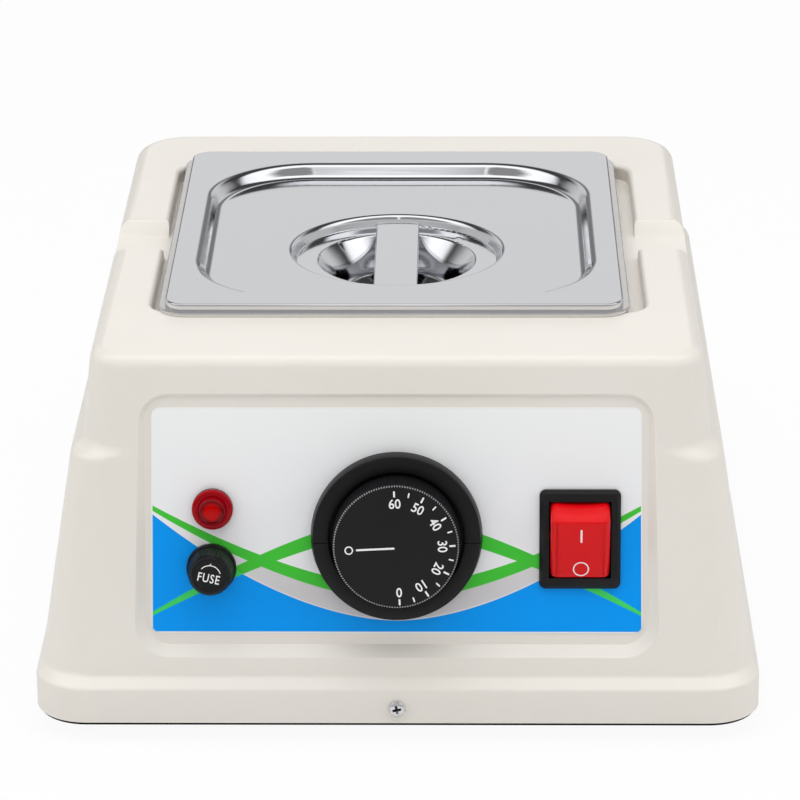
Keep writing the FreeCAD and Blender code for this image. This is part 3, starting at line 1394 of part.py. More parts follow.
def check_model():
    """Stop if any object failed, any cut missed, or any sub-part isn't sound."""
    doc.recompute()
    for item in doc.Objects:
        if {"Invalid", "Error"} & set(item.State):
            raise RuntimeError(f"{item.Name} did not recompute: {item.State}")
        cuts = item.TypeId in ("PartDesign::Pocket", "PartDesign::Groove",
                               "PartDesign::SubtractiveLoft", "PartDesign::SubtractivePipe")
        if cuts and item.BaseFeature.Shape.Volume - item.Shape.Volume < 0.01:
            raise RuntimeError(f"{item.Name} cuts nothing")
    for piece in pieces:
        if piece.Shape.isNull() or not piece.Shape.isValid():
            raise RuntimeError(f"{piece.Label} has no sound shape")


check_model()
os.makedirs("parts", exist_ok=True)
for piece in pieces:
    piece.Shape.exportStep(f"parts/{piece.Label}.step")
    print(piece.Label, len(piece.Shape.Solids), "solid", round(piece.Shape.Volume / 1000, 2), "cm3")
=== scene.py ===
"""Chocolate melter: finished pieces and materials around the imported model."""
import logging
import math
from contextlib import contextmanager
from dataclasses import dataclass, field
from enum import Enum
from typing import Callable, Iterator, Sequence

import bmesh
import bpy
from mathutils import Euler, Matrix, Vector


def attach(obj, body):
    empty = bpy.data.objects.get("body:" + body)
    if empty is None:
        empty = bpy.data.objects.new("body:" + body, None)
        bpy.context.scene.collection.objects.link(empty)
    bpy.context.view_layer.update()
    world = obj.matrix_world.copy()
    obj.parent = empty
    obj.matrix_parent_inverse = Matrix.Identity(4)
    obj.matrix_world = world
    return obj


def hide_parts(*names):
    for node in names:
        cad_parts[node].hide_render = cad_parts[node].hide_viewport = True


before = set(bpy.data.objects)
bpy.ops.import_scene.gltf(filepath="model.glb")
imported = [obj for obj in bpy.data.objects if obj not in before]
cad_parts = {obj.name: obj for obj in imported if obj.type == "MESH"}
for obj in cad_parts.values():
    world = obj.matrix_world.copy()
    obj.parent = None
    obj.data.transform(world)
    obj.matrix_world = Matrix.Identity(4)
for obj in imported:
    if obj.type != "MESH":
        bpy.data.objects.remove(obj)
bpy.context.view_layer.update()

MM = 0.001
LOG = logging.getLogger("melter")
Colour = tuple[float, float, float]
Profile = Sequence[tuple[float, float]]
Ramp = tuple[float, float, float, float]
Socket, Sockets, Node = bpy.types.NodeSocket, bpy.types.NodeOutputs, bpy.types.Node
Value = float | Socket
Piece = bpy.types.Object


def srgb(red: int, green: int, blue: int) -> Colour:
    """Turn a screen colour into the linear values that a shader takes.

    Args:
        red: Red from 0 to 255.
        green: Green from 0 to 255.
        blue: Blue from 0 to 255.

    Returns:
        The three linear values.
    """
    def straight(level: int) -> float:
        """Undo the screen's curve for one channel."""
        share = level / 255
        return share / 12.92 if share <= 0.04045 else ((share + 0.055) / 1.055) ** 2.4
    return straight(red), straight(green), straight(blue)


def dimmed(colour: Colour, level: float) -> Colour:
    """Darken a colour evenly to a share of itself."""
    return tuple(level * part for part in colour)


# --------------------------------------------------------------- node trees


class Board:
    """Short hand for laying out one node tree."""

    def __init__(self, tree: bpy.types.NodeTree) -> None:
        """Keep the tree that nodes are added to."""
        self.tree = tree

    def feed(self, socket: Socket, value: object) -> None:
        """Link a socket to an input, or set the input's own value.

        Args:
            socket: The input.
            value: Another socket, a number, a vector or a colour.
        """
        if isinstance(value, Socket):
            self.tree.links.new(value, socket)
        elif socket.type == "RGBA" and len(value) == 3:
            socket.default_value = (*value, 1.0)
        else:
            socket.default_value = value

    def fill(self, node: Node, **values: object) -> None:
        """Feed inputs of a node, by name with _ for a space."""
        for name, value in values.items():
            self.feed(node.inputs[name.replace("_", " ")], value)

    def add(self, kind: str, **values: object) -> Node:
        """Add a node and set what it is given.

        Args:
            kind: The node's type without its ShaderNode prefix.
            **values: Properties of the node, or inputs by name with _ for a space.

        Returns:
            The new node.
        """
        node = self.tree.nodes.new("ShaderNode" + kind)
        for name, value in values.items():
            if hasattr(node, name):
                setattr(node, name, value)
            else:
                self.fill(node, **{name: value})
        return node

    def math(self, operation: str, *terms: Value, clamp: bool = False) -> Socket:
        """Add one sum.

        Args:
            operation: The Math node's operation.
            *terms: Numbers or sockets, in the node's order.
            clamp: Whether the result is kept between 0 and 1.

        Returns:
            The sum's value.
        """
        node = self.add("Math", operation=operation, use_clamp=clamp)
        for socket, term in zip(node.inputs, terms):
            self.feed(socket, term)
        return node.outputs[0]

    def times(self, first: Value, second: Value) -> Socket:
        """Multiply two numbers."""
        return self.math("MULTIPLY", first, second)

    def plus(self, first: Value, second: Value) -> Socket:
        """Add two numbers."""
        return self.math("ADD", first, second)

    def vector(self, operation: str, *terms: object) -> Sockets:
        """Add one vector sum.

        Args:
            operation: The VectorMath node's operation.
            *terms: Vectors or sockets, in the node's order.

        Returns:
            All its results, by name.
        """
        node = self.add("VectorMath", operation=operation)
        for socket, term in zip(node.inputs, terms):
            self.feed(socket, term)
        return node.outputs

    def noise(self, place: Socket, scale: Value, **values: float) -> Socket:
        """Add a noise texture at a place and scale, and give its level."""
        return self.add("TexNoise", Vector=place, Scale=scale, **values).outputs["Fac"]

    def remap(self, value: Socket, low: float, high: float, bottom: float = 0.0,
              top: float = 1.0) -> Socket:
        """Map a range of values softly onto another.

        Args:
            value: The value to map.
            low: Where the input's range starts.
            high: Where the input's range ends.
            bottom: What low becomes.
            top: What high becomes.

        Returns:
            The mapped value.
        """
        node = self.add("MapRange", interpolation_type="SMOOTHSTEP")
        self.fill(node, Value=value, From_Min=low, From_Max=high, To_Min=bottom, To_Max=top)
        return node.outputs[0]

    def blend(self, share: Socket, first: object, second: object) -> Socket:
        """Mix two colours.

        Args:
            share: How much of the second colour shows.
            first: A colour or its socket.
            second: A colour or its socket.

        Returns:
            The mixed colour.
        """
        node = self.add("Mix", data_type="RGBA")
        for number, term in ((0, share), (6, first), (7, second)):
            self.feed(node.inputs[number], term)
        return node.outputs[2]

    def mixed(self, share: Socket, first: Node, second: Node) -> Node:
        """Mix two shaders.

        Args:
            share: How much of the second shader shows.
            first: A shader's node.
            second: A shader's node.

        Returns:
            The node that mixes them.
        """
        node = self.add("MixShader")
        for socket, term in zip(node.inputs, (share, first.outputs[0], second.outputs[0])):
            self.feed(socket, term)
        return node

    def between(self, share: Socket, first: Value, second: Value) -> Socket:
        """Go from one number to another as a share goes from 0 to 1."""
        span = self.math("SUBTRACT", second, first)
        return self.plus(first, self.times(share, span))

    def group(self, tree: bpy.types.NodeTree, **values: object) -> Sockets:
        """Place a shared group.

        Args:
            tree: The shared group.
            **values: Inputs by name with _ for a space.

        Returns:
            The group's results, by name.
        """
        node = self.add("Group", node_tree=tree)
        self.fill(node, **values)
        return node.outputs


def new_group(name: str, inputs: dict[str, float | None],
              outputs: Sequence[str]) -> tuple[Board, Sockets, Node]:
    """Start a shared shader group.

    Args:
        name: The group's name.
        inputs: Names of its inputs with their defaults; None makes a vector input.
        outputs: Names of its value outputs.

    Returns:
        The board to lay nodes on, what the group is given, and the node for its results.
    """
    tree = bpy.data.node_groups.new(name, "ShaderNodeTree")
    for label, default in inputs.items():
        kind = "NodeSocketVector" if default is None else "NodeSocketFloat"
        socket = tree.interface.new_socket(name=label, in_out="INPUT", socket_type=kind)
        if default is not None:
            socket.default_value = default
    for label in outputs:
        tree.interface.new_socket(name=label, in_out="OUTPUT", socket_type="NodeSocketFloat")
    given, result = tree.nodes.new("NodeGroupInput"), tree.nodes.new("NodeGroupOutput")
    return Board(tree), given.outputs, result


class Effects:
    """Shader groups that several finishes share."""

    def __init__(self) -> None:
        """Build each group once."""
        self.grain = self._grain()
        self.handling = self._handling()
        self.wear = self._wear()
        self.brushing = self._brushing()
        self.curve = self._curve()

    def _grain(self) -> bpy.types.NodeTree:
        """Fine even grain of a moulded surface, as a height.

        Returns:
            The group.
        """
        board, given, result = new_group("moulded_grain", {"Place": None, "Scale": 900.0},
                                         ["Height"])
        fine = board.noise(given["Place"], given["Scale"], Detail=2.0, Roughness=0.6)
        broad = board.noise(given["Place"], board.times(given["Scale"], 0.09), Detail=1.0)
        board.fill(result, Height=board.plus(fine, board.times(broad, 0.6)))
        return board.tree

    def _handling(self) -> bpy.types.NodeTree:
        """Faint smears and dust from handling, as masks.

        Returns:
            The group.
        """
        board, given, result = new_group("handling_marks", {"Place": None, "Scale": 14.0},
                                         ["Smear", "Dust"])
        smear = board.noise(given["Place"], given["Scale"], Detail=2.0, Roughness=0.4,
                            Distortion=0.2)
        specks = board.noise(given["Place"], board.times(given["Scale"], 60.0), Detail=2.0)
        board.fill(result, Smear=board.remap(smear, 0.25, 0.8),
                   Dust=board.remap(specks, 0.66, 0.78))
        return board.tree

    def _wear(self) -> bpy.types.NodeTree:
        """Rubbed edges, as a mask that is 1 on the sharpest edges.

        Returns:
            The group.
        """
        board, given, result = new_group("edge_wear", {"Place": None, "Amount": 0.5}, ["Mask"])
        sharp = board.remap(board.add("NewGeometry").outputs["Pointiness"], 0.515, 0.60)
        patches = board.noise(given["Place"], 160.0, Detail=3.0)
        broken = board.times(sharp, board.remap(patches, 0.35, 0.7))
        board.fill(result, Mask=board.math("MULTIPLY", broken, given["Amount"], clamp=True))
        return board.tree

    def _brushing(self) -> bpy.types.NodeTree:
        """Long fine lines of rolled or brushed metal, as a height and a mask.

        Returns:
            The group.
        """
        board, given, result = new_group("brushed_lines", {"Place": None, "Scale": 700.0},
                                         ["Height", "Mask"])
        stretched = board.add("Mapping", Vector=given["Place"], Scale=(0.03, 1.0, 1.0))
        lines = board.noise(stretched.outputs[0], given["Scale"], Detail=3.0, Roughness=0.7)
        board.fill(result, Height=lines, Mask=board.remap(lines, 0.3, 0.7))
        return board.tree

    def _curve(self) -> bpy.types.NodeTree:
        """Distance above a printed curve, and a mask of the band that hangs below it.

        Returns:
            The group.
        """
        board, given, result = new_group(
            "printed_curve", {"Across": 0.0, "Up": 0.0, "Level": 0.0, "Rise": 0.02, "Power": 1.6,
                              "Width": 5.0, "Taper": 0.0005}, ["Above", "Band"])
        reach = board.math("ABSOLUTE", given["Across"])
        bow = board.times(board.math("POWER", reach, given["Power"]), given["Rise"])
        above = board.math("SUBTRACT", given["Up"], board.plus(given["Level"], bow))
        width = board.math("SUBTRACT", given["Width"],
                           board.times(board.times(reach, reach), given["Taper"]))
        lower = board.plus(above, width)
        soft = 0.12
        band = board.times(board.remap(above, soft, -soft), board.remap(lower, -soft, soft))
        board.fill(result, Above=above, Band=band)
        return board.tree


@dataclass(frozen=True)
class Place:
    """Where a sub-assembly's own axes lie: z out of the surface that it sits on."""

    origin: Vector
    turn: float

    @property
    def matrix(self) -> Matrix:
        """The move from the sub-assembly's own axes to the object's."""
        return Matrix.Translation(self.origin) @ Matrix.Rotation(self.turn, 4, "X")

    def shifted(self, across: float, up: float, out: float = 0.0,
                more_turn: float = 0.0) -> "Place":
        """Another place on the same surface, in millimetres, turned further in radians."""
        spot = self.matrix @ (Vector((across, up, out)) * MM)
        return Place(spot, self.turn + more_turn)


PANEL_LEAN = math.radians(9.0)
PANEL = Place(Vector((0.0, -0.13236842, 0.06985)), math.pi / 2 - PANEL_LEAN)


class Sheet(Board):
    """The board of one material, with its shader and the object's own coordinates."""

    def __init__(self, name: str) -> None:
        """Start a material.

        Args:
            name: Its name.
        """
        self.material = bpy.data.materials.new(name)
        self.material.use_nodes = True
        super().__init__(self.material.node_tree)
        self.shader = self.tree.nodes["Principled BSDF"]
        self.place = self.add("TexCoord").outputs["Object"]

    def relief(self, height: Socket, strength: float, depth: float) -> None:
        """Give the shader a fine relief of a strength, and a depth in metres."""
        bump = self.add("Bump", Strength=strength, Distance=depth, Height=height)
        self.fill(self.shader, Normal=bump.outputs["Normal"])


class Finish:
    """What a material looks like."""

    def lay(self, sheet: Sheet, effects: Effects) -> None:
        """Lay out the nodes that feed the sheet's shader, with the shared groups."""
        raise NotImplementedError


@dataclass(frozen=True)
class Moulded(Finish):
    """Moulded plastic, rubber or resin with a fine grain."""

    colour: Colour
    shade: Colour
    roughness: float = 0.38
    grain_scale: float = 900.0
    grain_strength: float = 0.12
    grain_depth: float = 0.00008
    coat: float = 0.0
    coat_roughness: float = 0.12
    wear: Colour | None = None
    wear_amount: float = 0.4
    scatter: float = 0.0
    scatter_reach: Colour = (0.004, 0.003, 0.002)
    dust: float = 0.04
    dust_pale: float = 0.6
    smear: float = 0.02
    gloss: float = 0.5

    def lay(self, sheet: Sheet, effects: Effects) -> None:
        """Grain the surface and spread faint smears and dust over it.

        Args:
            sheet: The material's sheet.
            effects: The shared groups.
        """
        marks = sheet.group(effects.handling, Place=sheet.place)
        tint = sheet.blend(marks["Smear"], self.colour, self.shade)
        pale = tuple(self.dust_pale + (1 - self.dust_pale) * level for level in self.colour)
        tint = sheet.blend(sheet.times(marks["Dust"], self.dust), tint, pale)
        if self.wear:
            rubbed = sheet.group(effects.wear, Place=sheet.place, Amount=self.wear_amount)
            tint = sheet.blend(rubbed["Mask"], tint, self.wear)
        rough = sheet.plus(self.roughness - self.smear / 2,
                           sheet.times(marks["Smear"], self.smear))
        grain = sheet.group(effects.grain, Place=sheet.place, Scale=self.grain_scale)
        sheet.relief(grain["Height"], self.grain_strength, self.grain_depth)
        sheet.fill(sheet.shader, Base_Color=tint, Roughness=rough, Specular_IOR_Level=self.gloss,
                   Coat_Weight=self.coat, Coat_Roughness=self.coat_roughness,
                   Subsurface_Weight=self.scatter, Subsurface_Radius=self.scatter_reach,
                   Subsurface_Scale=1.0)


@dataclass(frozen=True)
class Metal(Finish):
    """Drawn, rolled or plated metal with fine lines along it."""

    colour: Colour
    shade: Colour
    roughness: float = 0.2
    line_scale: float = 700.0
    line_strength: float = 0.06
    line_depth: float = 0.00005
    line_shade: float = 0.35
    smear_scale: float = 18.0
    uneven: float = 0.05
    turn: float = 0.0
    # Colour painted into faces marked as a recess: painted shade.
    recess: Colour | None = None

    def lay(self, sheet: Sheet, effects: Effects) -> None:
        """Draw the lines, and darken what the mesh marks as a recess, as painted shade.

        Args:
            sheet: The material's sheet.
            effects: The shared groups.
        """
        turned_place = sheet.add("Mapping", Vector=sheet.place, Rotation=(0.0, 0.0, self.turn))
        lines = sheet.group(effects.brushing, Place=turned_place.outputs[0],
                            Scale=self.line_scale)
        smear = sheet.group(effects.handling, Place=sheet.place,
                            Scale=self.smear_scale)["Smear"]
        tint = sheet.blend(sheet.times(lines["Mask"], self.line_shade), self.colour, self.shade)
        # Painted shade in the faces marked as a recess.
        if self.recess:
            sunk = sheet.add("Attribute", attribute_name="recess").outputs["Fac"]
            tint = sheet.blend(sunk, tint, self.recess)
        change = sheet.plus(sheet.times(smear, self.uneven),
                            sheet.times(lines["Mask"], self.uneven))
        sheet.relief(lines["Height"], self.line_strength, self.line_depth)
        sheet.fill(sheet.shader, Base_Color=tint, Roughness=sheet.plus(self.roughness, change),
                   Metallic=1.0)


@dataclass(frozen=True)
class Clear(Finish):
    """Clear or tinted material that light passes through."""

    colour: Colour
    share: float = 0.6
    roughness: float = 0.06
    ior: float = 1.49
    gloss: float = 0.5
    smear_scale: float = 40.0
    smear_shade: float = 0.85
    smear_rough: float = 0.04
    grain_scale: float = 260.0
    grain_strength: float = 0.05
    grain_depth: float = 0.0001
    # core, ring and rim paint shading into a clear lens: the colour darkens in a ring round the
    # core and turns a darker pink on the rim.
    core: Place | None = None
    core_radius: float = 0.003
    ring_reach: tuple[float, float] = (0.7, 1.25)
    painted_ring_shade: float = 0.45
    rim_reach: tuple[float, float] = (1.38, 1.5)
    painted_rim_shade: Colour = (1.0, 1.0, 1.0)

    def lay(self, sheet: Sheet, effects: Effects) -> None:
        """Tint the material, with painted shade round its core where it has one: a dark ring, then
        a darker pinkish rim out to the flange.

        Args:
            sheet: The material's sheet.
            effects: The shared groups.
        """
        smear = sheet.group(effects.handling, Place=sheet.place,
                            Scale=self.smear_scale)["Smear"]
        tint = sheet.blend(smear, self.colour, dimmed(self.colour, self.smear_shade))
        # Painted shade: a darker ring and a darker rim round the lens's brighter core.
        if self.core:
            lean = self.core.matrix.to_3x3() @ Vector((0, 0, 1))
            arm = sheet.vector("SUBTRACT", sheet.place, self.core.origin)["Vector"]
            across = sheet.vector("CROSS_PRODUCT", arm, lean)["Vector"]
            away = sheet.vector("LENGTH", across)["Value"]
            ring_painted_shade = dimmed(self.painted_rim_shade, self.painted_ring_shade)
            for (start, end), colour in ((self.ring_reach, ring_painted_shade),
                                         (self.rim_reach, self.painted_rim_shade)):
                outside = sheet.remap(away, start * self.core_radius, end * self.core_radius)
                tint = sheet.blend(outside, tint, colour)
        grain = sheet.group(effects.grain, Place=sheet.place, Scale=self.grain_scale)
        sheet.relief(grain["Height"], self.grain_strength, self.grain_depth)
        sheet.fill(sheet.shader, Base_Color=tint,
                   Roughness=sheet.plus(self.roughness, sheet.times(smear, self.smear_rough)),
                   Transmission_Weight=self.share, IOR=self.ior, Specular_IOR_Level=self.gloss)


@dataclass(frozen=True)
class Fibre(Finish):
    """Pressed fibre mat."""

    colour: Colour
    roughness: float = 0.95
    tangle_scale: float = 420.0
    tangle_shade: float = 0.8
    tangle_depth: float = 0.0006
    smear_scale: float = 30.0
    smear_shade: float = 0.65

    def lay(self, sheet: Sheet, effects: Effects) -> None:
        """Tangle the fibres and darken the mat here and there.

        Args:
            sheet: The material's sheet.
            effects: The shared groups.
        """
        tangle = sheet.noise(sheet.place, self.tangle_scale, Detail=6.0, Distortion=2.5)
        smear = sheet.group(effects.handling, Place=sheet.place,
                            Scale=self.smear_scale)["Smear"]
        tint = sheet.blend(tangle, dimmed(self.colour, self.tangle_shade), self.colour)
        tint = sheet.blend(sheet.times(smear, 0.2), tint, dimmed(self.colour, self.smear_shade))
        sheet.relief(tangle, 0.6, self.tangle_depth)
        sheet.fill(sheet.shader, Base_Color=tint, Roughness=self.roughness)


@dataclass(frozen=True)
class PrintedCurve:
    """One bow of the film's print, in millimetres from the dial's axis."""

    level: float
    rise: float
    power: float
    width: float = 0.0
    taper: float = 0.0


@dataclass(frozen=True)
class PrintedFilm(Finish):
    """Satin film with two green bands that cross over a blue field."""

    lean: float
    middle: Vector
    paper: Colour = srgb(250, 251, 251)
    # paper colour lower down, darker as painted shade
    shaded_paper: Colour = srgb(246, 247, 249)
    green: Colour = srgb(72, 204, 62)
    light_green: Colour = srgb(72, 220, 104)
    blue: Colour = srgb(0, 158, 255)
    grey: Colour = srgb(214, 212, 214)
    border: Colour = srgb(246, 246, 244)
    rising: PrintedCurve = PrintedCurve(-18.0, 0.02448, 1.6, 4.9, 0.00045)
    falling: PrintedCurve = PrintedCurve(7.37, -0.04552, 1.5, 5.6, 0.00063)
    field: PrintedCurve = PrintedCurve(-29.7, 0.013244, 1.8)
    half_top: float = 82.0
    half_bottom: float = 83.0
    above: float = 44.0
    below: float = 34.0
    shade_from: float = 6.0
    under_band: tuple[float, float] = (-0.1, -5.0)
    under_reach: tuple[float, float] = (82.0, 30.0)
    line_out: tuple[float, float] = (0.55, 0.3)
    line_in: tuple[float, float] = (-0.1, 0.1)
    line_share: float = 0.6
    soft: float = 0.12
    rim: tuple[float, float] = (-0.55, -0.3)
    dust: float = 0.03
    smear_scale: float = 11.0
    smear_rough: float = 0.08
    roughness: float = 0.3
    gloss: float = 0.12
    grain_scale: float = 1500.0
    grain_strength: float = 0.06
    grain_depth: float = 0.00005

    def lay(self, sheet: Sheet, effects: Effects) -> None:
        """Print the film: paper with painted shade towards the bottom, printed grey band, blue
        field, bands and border, from below up.

        Args:
            sheet: The material's sheet.
            effects: The shared groups.
        """
        turn = Euler((self.lean - math.pi / 2, 0, 0))
        shift = -(turn.to_matrix() @ self.middle) / MM
        flat = sheet.add("Mapping", Vector=sheet.place, Rotation=turn, Scale=(1000, 1000, 1000),
                         Location=shift).outputs[0]
        parts = sheet.add("SeparateXYZ", Vector=flat)
        across, up = parts.outputs["X"], parts.outputs["Y"]
        aside = sheet.math("ABSOLUTE", across)

        def bow(curve: PrintedCurve) -> Sockets:
            """Place one printed curve."""
            return sheet.group(effects.curve, Across=across, Up=up, Level=curve.level,
                               Rise=curve.rise, Power=curve.power, Width=curve.width,
                               Taper=curve.taper)

        rising, falling, over_field = bow(self.rising), bow(self.falling), bow(self.field)["Above"]
        # The paper darkens towards the bottom: painted shade.
        tint = sheet.blend(sheet.remap(up, self.above, self.shade_from), self.paper, self.shaded_paper)
        under_band = sheet.times(sheet.remap(rising["Above"], *self.under_band),
                                 sheet.remap(aside, *self.under_reach))
        tint = sheet.blend(under_band, tint, self.grey)
        marks = sheet.group(effects.handling, Place=sheet.place, Scale=self.smear_scale)
        tint = sheet.blend(sheet.times(marks["Dust"], self.dust), tint, self.border)
        edge_line = sheet.times(sheet.remap(over_field, *self.line_out),
                                sheet.remap(over_field, *self.line_in))
        tint = sheet.blend(sheet.times(edge_line, self.line_share), tint, self.border)
        in_blue = sheet.remap(over_field, self.soft, -self.soft)
        tint = sheet.blend(in_blue, tint, self.blue)
        tint = sheet.blend(falling["Band"], tint,
                           sheet.blend(in_blue, self.green, self.light_green))
        tint = sheet.blend(rising["Band"], tint, self.green)
        height = self.above + self.below
        half = (self.half_top * self.below + self.half_bottom * self.above) / height
        slope = (self.half_top - self.half_bottom) / height
        side = sheet.math("SUBTRACT", aside, sheet.plus(half, sheet.times(up, slope)))
        ends = sheet.math("MAXIMUM", sheet.math("SUBTRACT", up, self.above),
                          sheet.math("SUBTRACT", -self.below, up))
        rim = sheet.math("MAXIMUM", side, ends)
        tint = sheet.blend(sheet.remap(rim, *self.rim), tint, self.border)
        grain = sheet.group(effects.grain, Place=sheet.place, Scale=self.grain_scale)
        sheet.relief(grain["Height"], self.grain_strength, self.grain_depth)
        rough = sheet.plus(self.roughness, sheet.times(marks["Smear"], self.smear_rough))
        sheet.fill(sheet.shader, Base_Color=tint, Specular_IOR_Level=self.gloss,
                   Roughness=rough)


class Slot(Enum):
    """Material slots of the record."""

    HOUSING = "housing_plastic"
    FILM = "control_film"
    BLACK = "black_plastic"
    KNOB = "black_knob"
    RED = "red_plastic"
    LENS = "red_lens"
    PAN = "pan_steel"
    LID = "lid_steel"
    WELL = "well_aluminium"
    BASE = "base_steel"
    ZINC = "zinc_steel"
    BRASS = "brass_contact"
    COPPER = "copper_tube"
    FOOT = "foot_rubber"
    SILICONE = "silicone"
    SEAL = "seal_rubber"
    FIBRE = "fibre"
    GLASS = "fuse_glass"
    RESIN = "thermostat_resin"
    WHITE = "white_resin"
    INK = "white_ink"
    # painted highlight on the knob's ridge tips
    WORN = "painted_ridge_highlight"


FINISHES = {
    Slot.HOUSING: Moulded(srgb(240, 235, 227), srgb(238, 233, 224), roughness=0.3,
                          grain_scale=700.0, grain_strength=0.08, coat=0.12, scatter=0.05,
                          dust=0.02),
    Slot.FILM: PrintedFilm(PANEL_LEAN, PANEL.origin),
    Slot.BLACK: Moulded(srgb(22, 22, 24), srgb(18, 18, 20), roughness=0.42, grain_scale=1300.0,
                        grain_strength=0.2, wear=srgb(50, 50, 53), dust=0.01, gloss=0.25),
    Slot.KNOB: Moulded(srgb(28, 28, 30), srgb(24, 24, 26), roughness=0.5, grain_scale=1500.0,
                       grain_strength=0.2, dust=0.0, gloss=0.22),
    Slot.RED: Moulded(srgb(232, 8, 18), srgb(222, 5, 15), roughness=0.2, grain_scale=500.0,
                      grain_strength=0.03, coat=0.05, scatter=0.1, dust=0.0, gloss=0.2),
    # The lens's ring and rim colours are painted shade round a brighter core.
    Slot.LENS: Clear(srgb(214, 0, 0), share=0.2, gloss=0.08, core=PANEL.shifted(-61.8, 9.3),
                     painted_rim_shade=srgb(176, 4, 22)),
    Slot.PAN: Metal((0.72, 0.71, 0.70), (0.62, 0.61, 0.60), roughness=0.16),
    Slot.LID: Metal((0.73, 0.735, 0.76), (0.70, 0.705, 0.73), roughness=0.04,
                    line_strength=0.012),
    Slot.WELL: Metal((0.80, 0.80, 0.81), (0.70, 0.70, 0.71), roughness=0.32, turn=math.pi / 2),
    Slot.BASE: Moulded(srgb(16, 16, 17), srgb(12, 12, 13), roughness=0.6, grain_scale=800.0,
                       grain_strength=0.35, dust=0.02, gloss=0.2),
    # The zinc's recess colour is painted shade in the screws' crosses.
    Slot.ZINC: Metal((0.80, 0.80, 0.81), (0.66, 0.66, 0.68), roughness=0.24, line_scale=1800.0,
                     recess=(0.03, 0.03, 0.032)),
    Slot.BRASS: Metal((0.80, 0.62, 0.30), (0.66, 0.50, 0.24), roughness=0.28),
    Slot.COPPER: Metal((0.80, 0.45, 0.30), (0.64, 0.33, 0.22), roughness=0.3),
    Slot.FOOT: Moulded(srgb(30, 30, 31), srgb(40, 40, 41), roughness=0.72, grain_scale=600.0,
                       grain_strength=0.3, dust=0.25),
    Slot.SILICONE: Moulded(srgb(176, 62, 44), srgb(150, 52, 38), roughness=0.55,
                           grain_scale=420.0, grain_strength=0.3),
    Slot.SEAL: Moulded(srgb(36, 36, 37), srgb(46, 46, 47), roughness=0.7),
    Slot.FIBRE: Fibre(srgb(226, 220, 200)),
    Slot.GLASS: Clear((0.93, 0.96, 0.97), share=1.0, roughness=0.02, ior=1.5),
    Slot.RESIN: Moulded(srgb(64, 54, 46), srgb(52, 44, 38), roughness=0.4),
    Slot.WHITE: Moulded(srgb(232, 231, 224), srgb(222, 220, 211), roughness=0.4),
    # Pale ridge tips: a painted highlight on the knob's ridges.
    Slot.WORN: Moulded(srgb(176, 176, 178), srgb(108, 108, 110), roughness=0.5),
    Slot.INK: Moulded(srgb(250, 250, 249), srgb(244, 244, 243), roughness=0.45,
                      grain_strength=0.05),
}


class PaintShop:
    """Builds every finish once and hands it out."""

    def __init__(self) -> None:
        """Build the shared effects and all the materials."""
        effects = Effects()
        self.materials = {}
        for slot, finish in FINISHES.items():
            sheet = Sheet(slot.value)
            finish.lay(sheet, effects)
            self.materials[slot] = sheet.material

    def coat(self, obj: Piece, slot: Slot) -> None:
        """Give an object the finish of one slot all over."""
        obj.data.materials.clear()
        obj.data.materials.append(self.materials[slot])


# ---------------------------------------------------------------- workshop

WELD = 0.002    # millimetres within which corners of a CAD mesh are merged
FLAT = 0.05     # degrees within which its triangles join into one face
PRINT = 0.04    # millimetres that a printed mark is thick


def only(obj: Piece) -> None:
    """Select one object and nothing else.

    Args:
        obj: The object.
    """
    bpy.ops.object.select_all(action="DESELECT")
    obj.select_set(True)
    bpy.context.view_layer.objects.active = obj


@contextmanager
def editing(obj: Piece) -> Iterator[bmesh.types.BMesh]:
    """Open an object in edit mode with nothing selected.

    Args:
        obj: The mesh object.

    Yields:
        Its mesh, for picking faces and edges.
    """
    only(obj)
    bpy.ops.object.mode_set(mode="EDIT")
    bpy.ops.mesh.select_all(action="DESELECT")
    yield bmesh.from_edit_mesh(obj.data)
    bpy.ops.object.mode_set(mode="OBJECT")


def pick(obj: Piece, kind: str, test: Callable[..., bool]) -> int:
    """Select the faces, edges or corners that pass a test, in edit mode.

    Args:
        obj: The object that is open.
        kind: FACE, EDGE or VERT.
        test: Says whether an element is wanted.

    Returns:
        How many were selected.
    """
    bpy.ops.mesh.select_mode(type=kind)
    bpy.ops.mesh.select_all(action="DESELECT")
    mesh = bmesh.from_edit_mesh(obj.data)
    items = {"FACE": mesh.faces, "EDGE": mesh.edges, "VERT": mesh.verts}[kind]
    count = 0
    for item in items:
        wanted = test(item)
        item.select_set(wanted)
        count += wanted
    mesh.select_flush_mode()
    bmesh.update_edit_mesh(obj.data)
    return count


def finish_modifier(obj: Piece, kind: str, **settings: object) -> None:
    """Add a modifier and apply it at once.

    Args:
        obj: The object.
        kind: The modifier's type.
        **settings: Its properties.
    """
    only(obj)
    modifier = obj.modifiers.new(kind.lower(), kind)
    for name, value in settings.items():
        setattr(modifier, name, value)
    bpy.ops.object.modifier_apply(modifier=modifier.name)


def smooth(obj: Piece, angle: float = 32.0) -> None:
    """Shade an object smooth up to an angle in degrees."""
    only(obj)
    bpy.ops.object.shade_smooth_by_angle(angle=math.radians(angle), keep_sharp_edges=False)


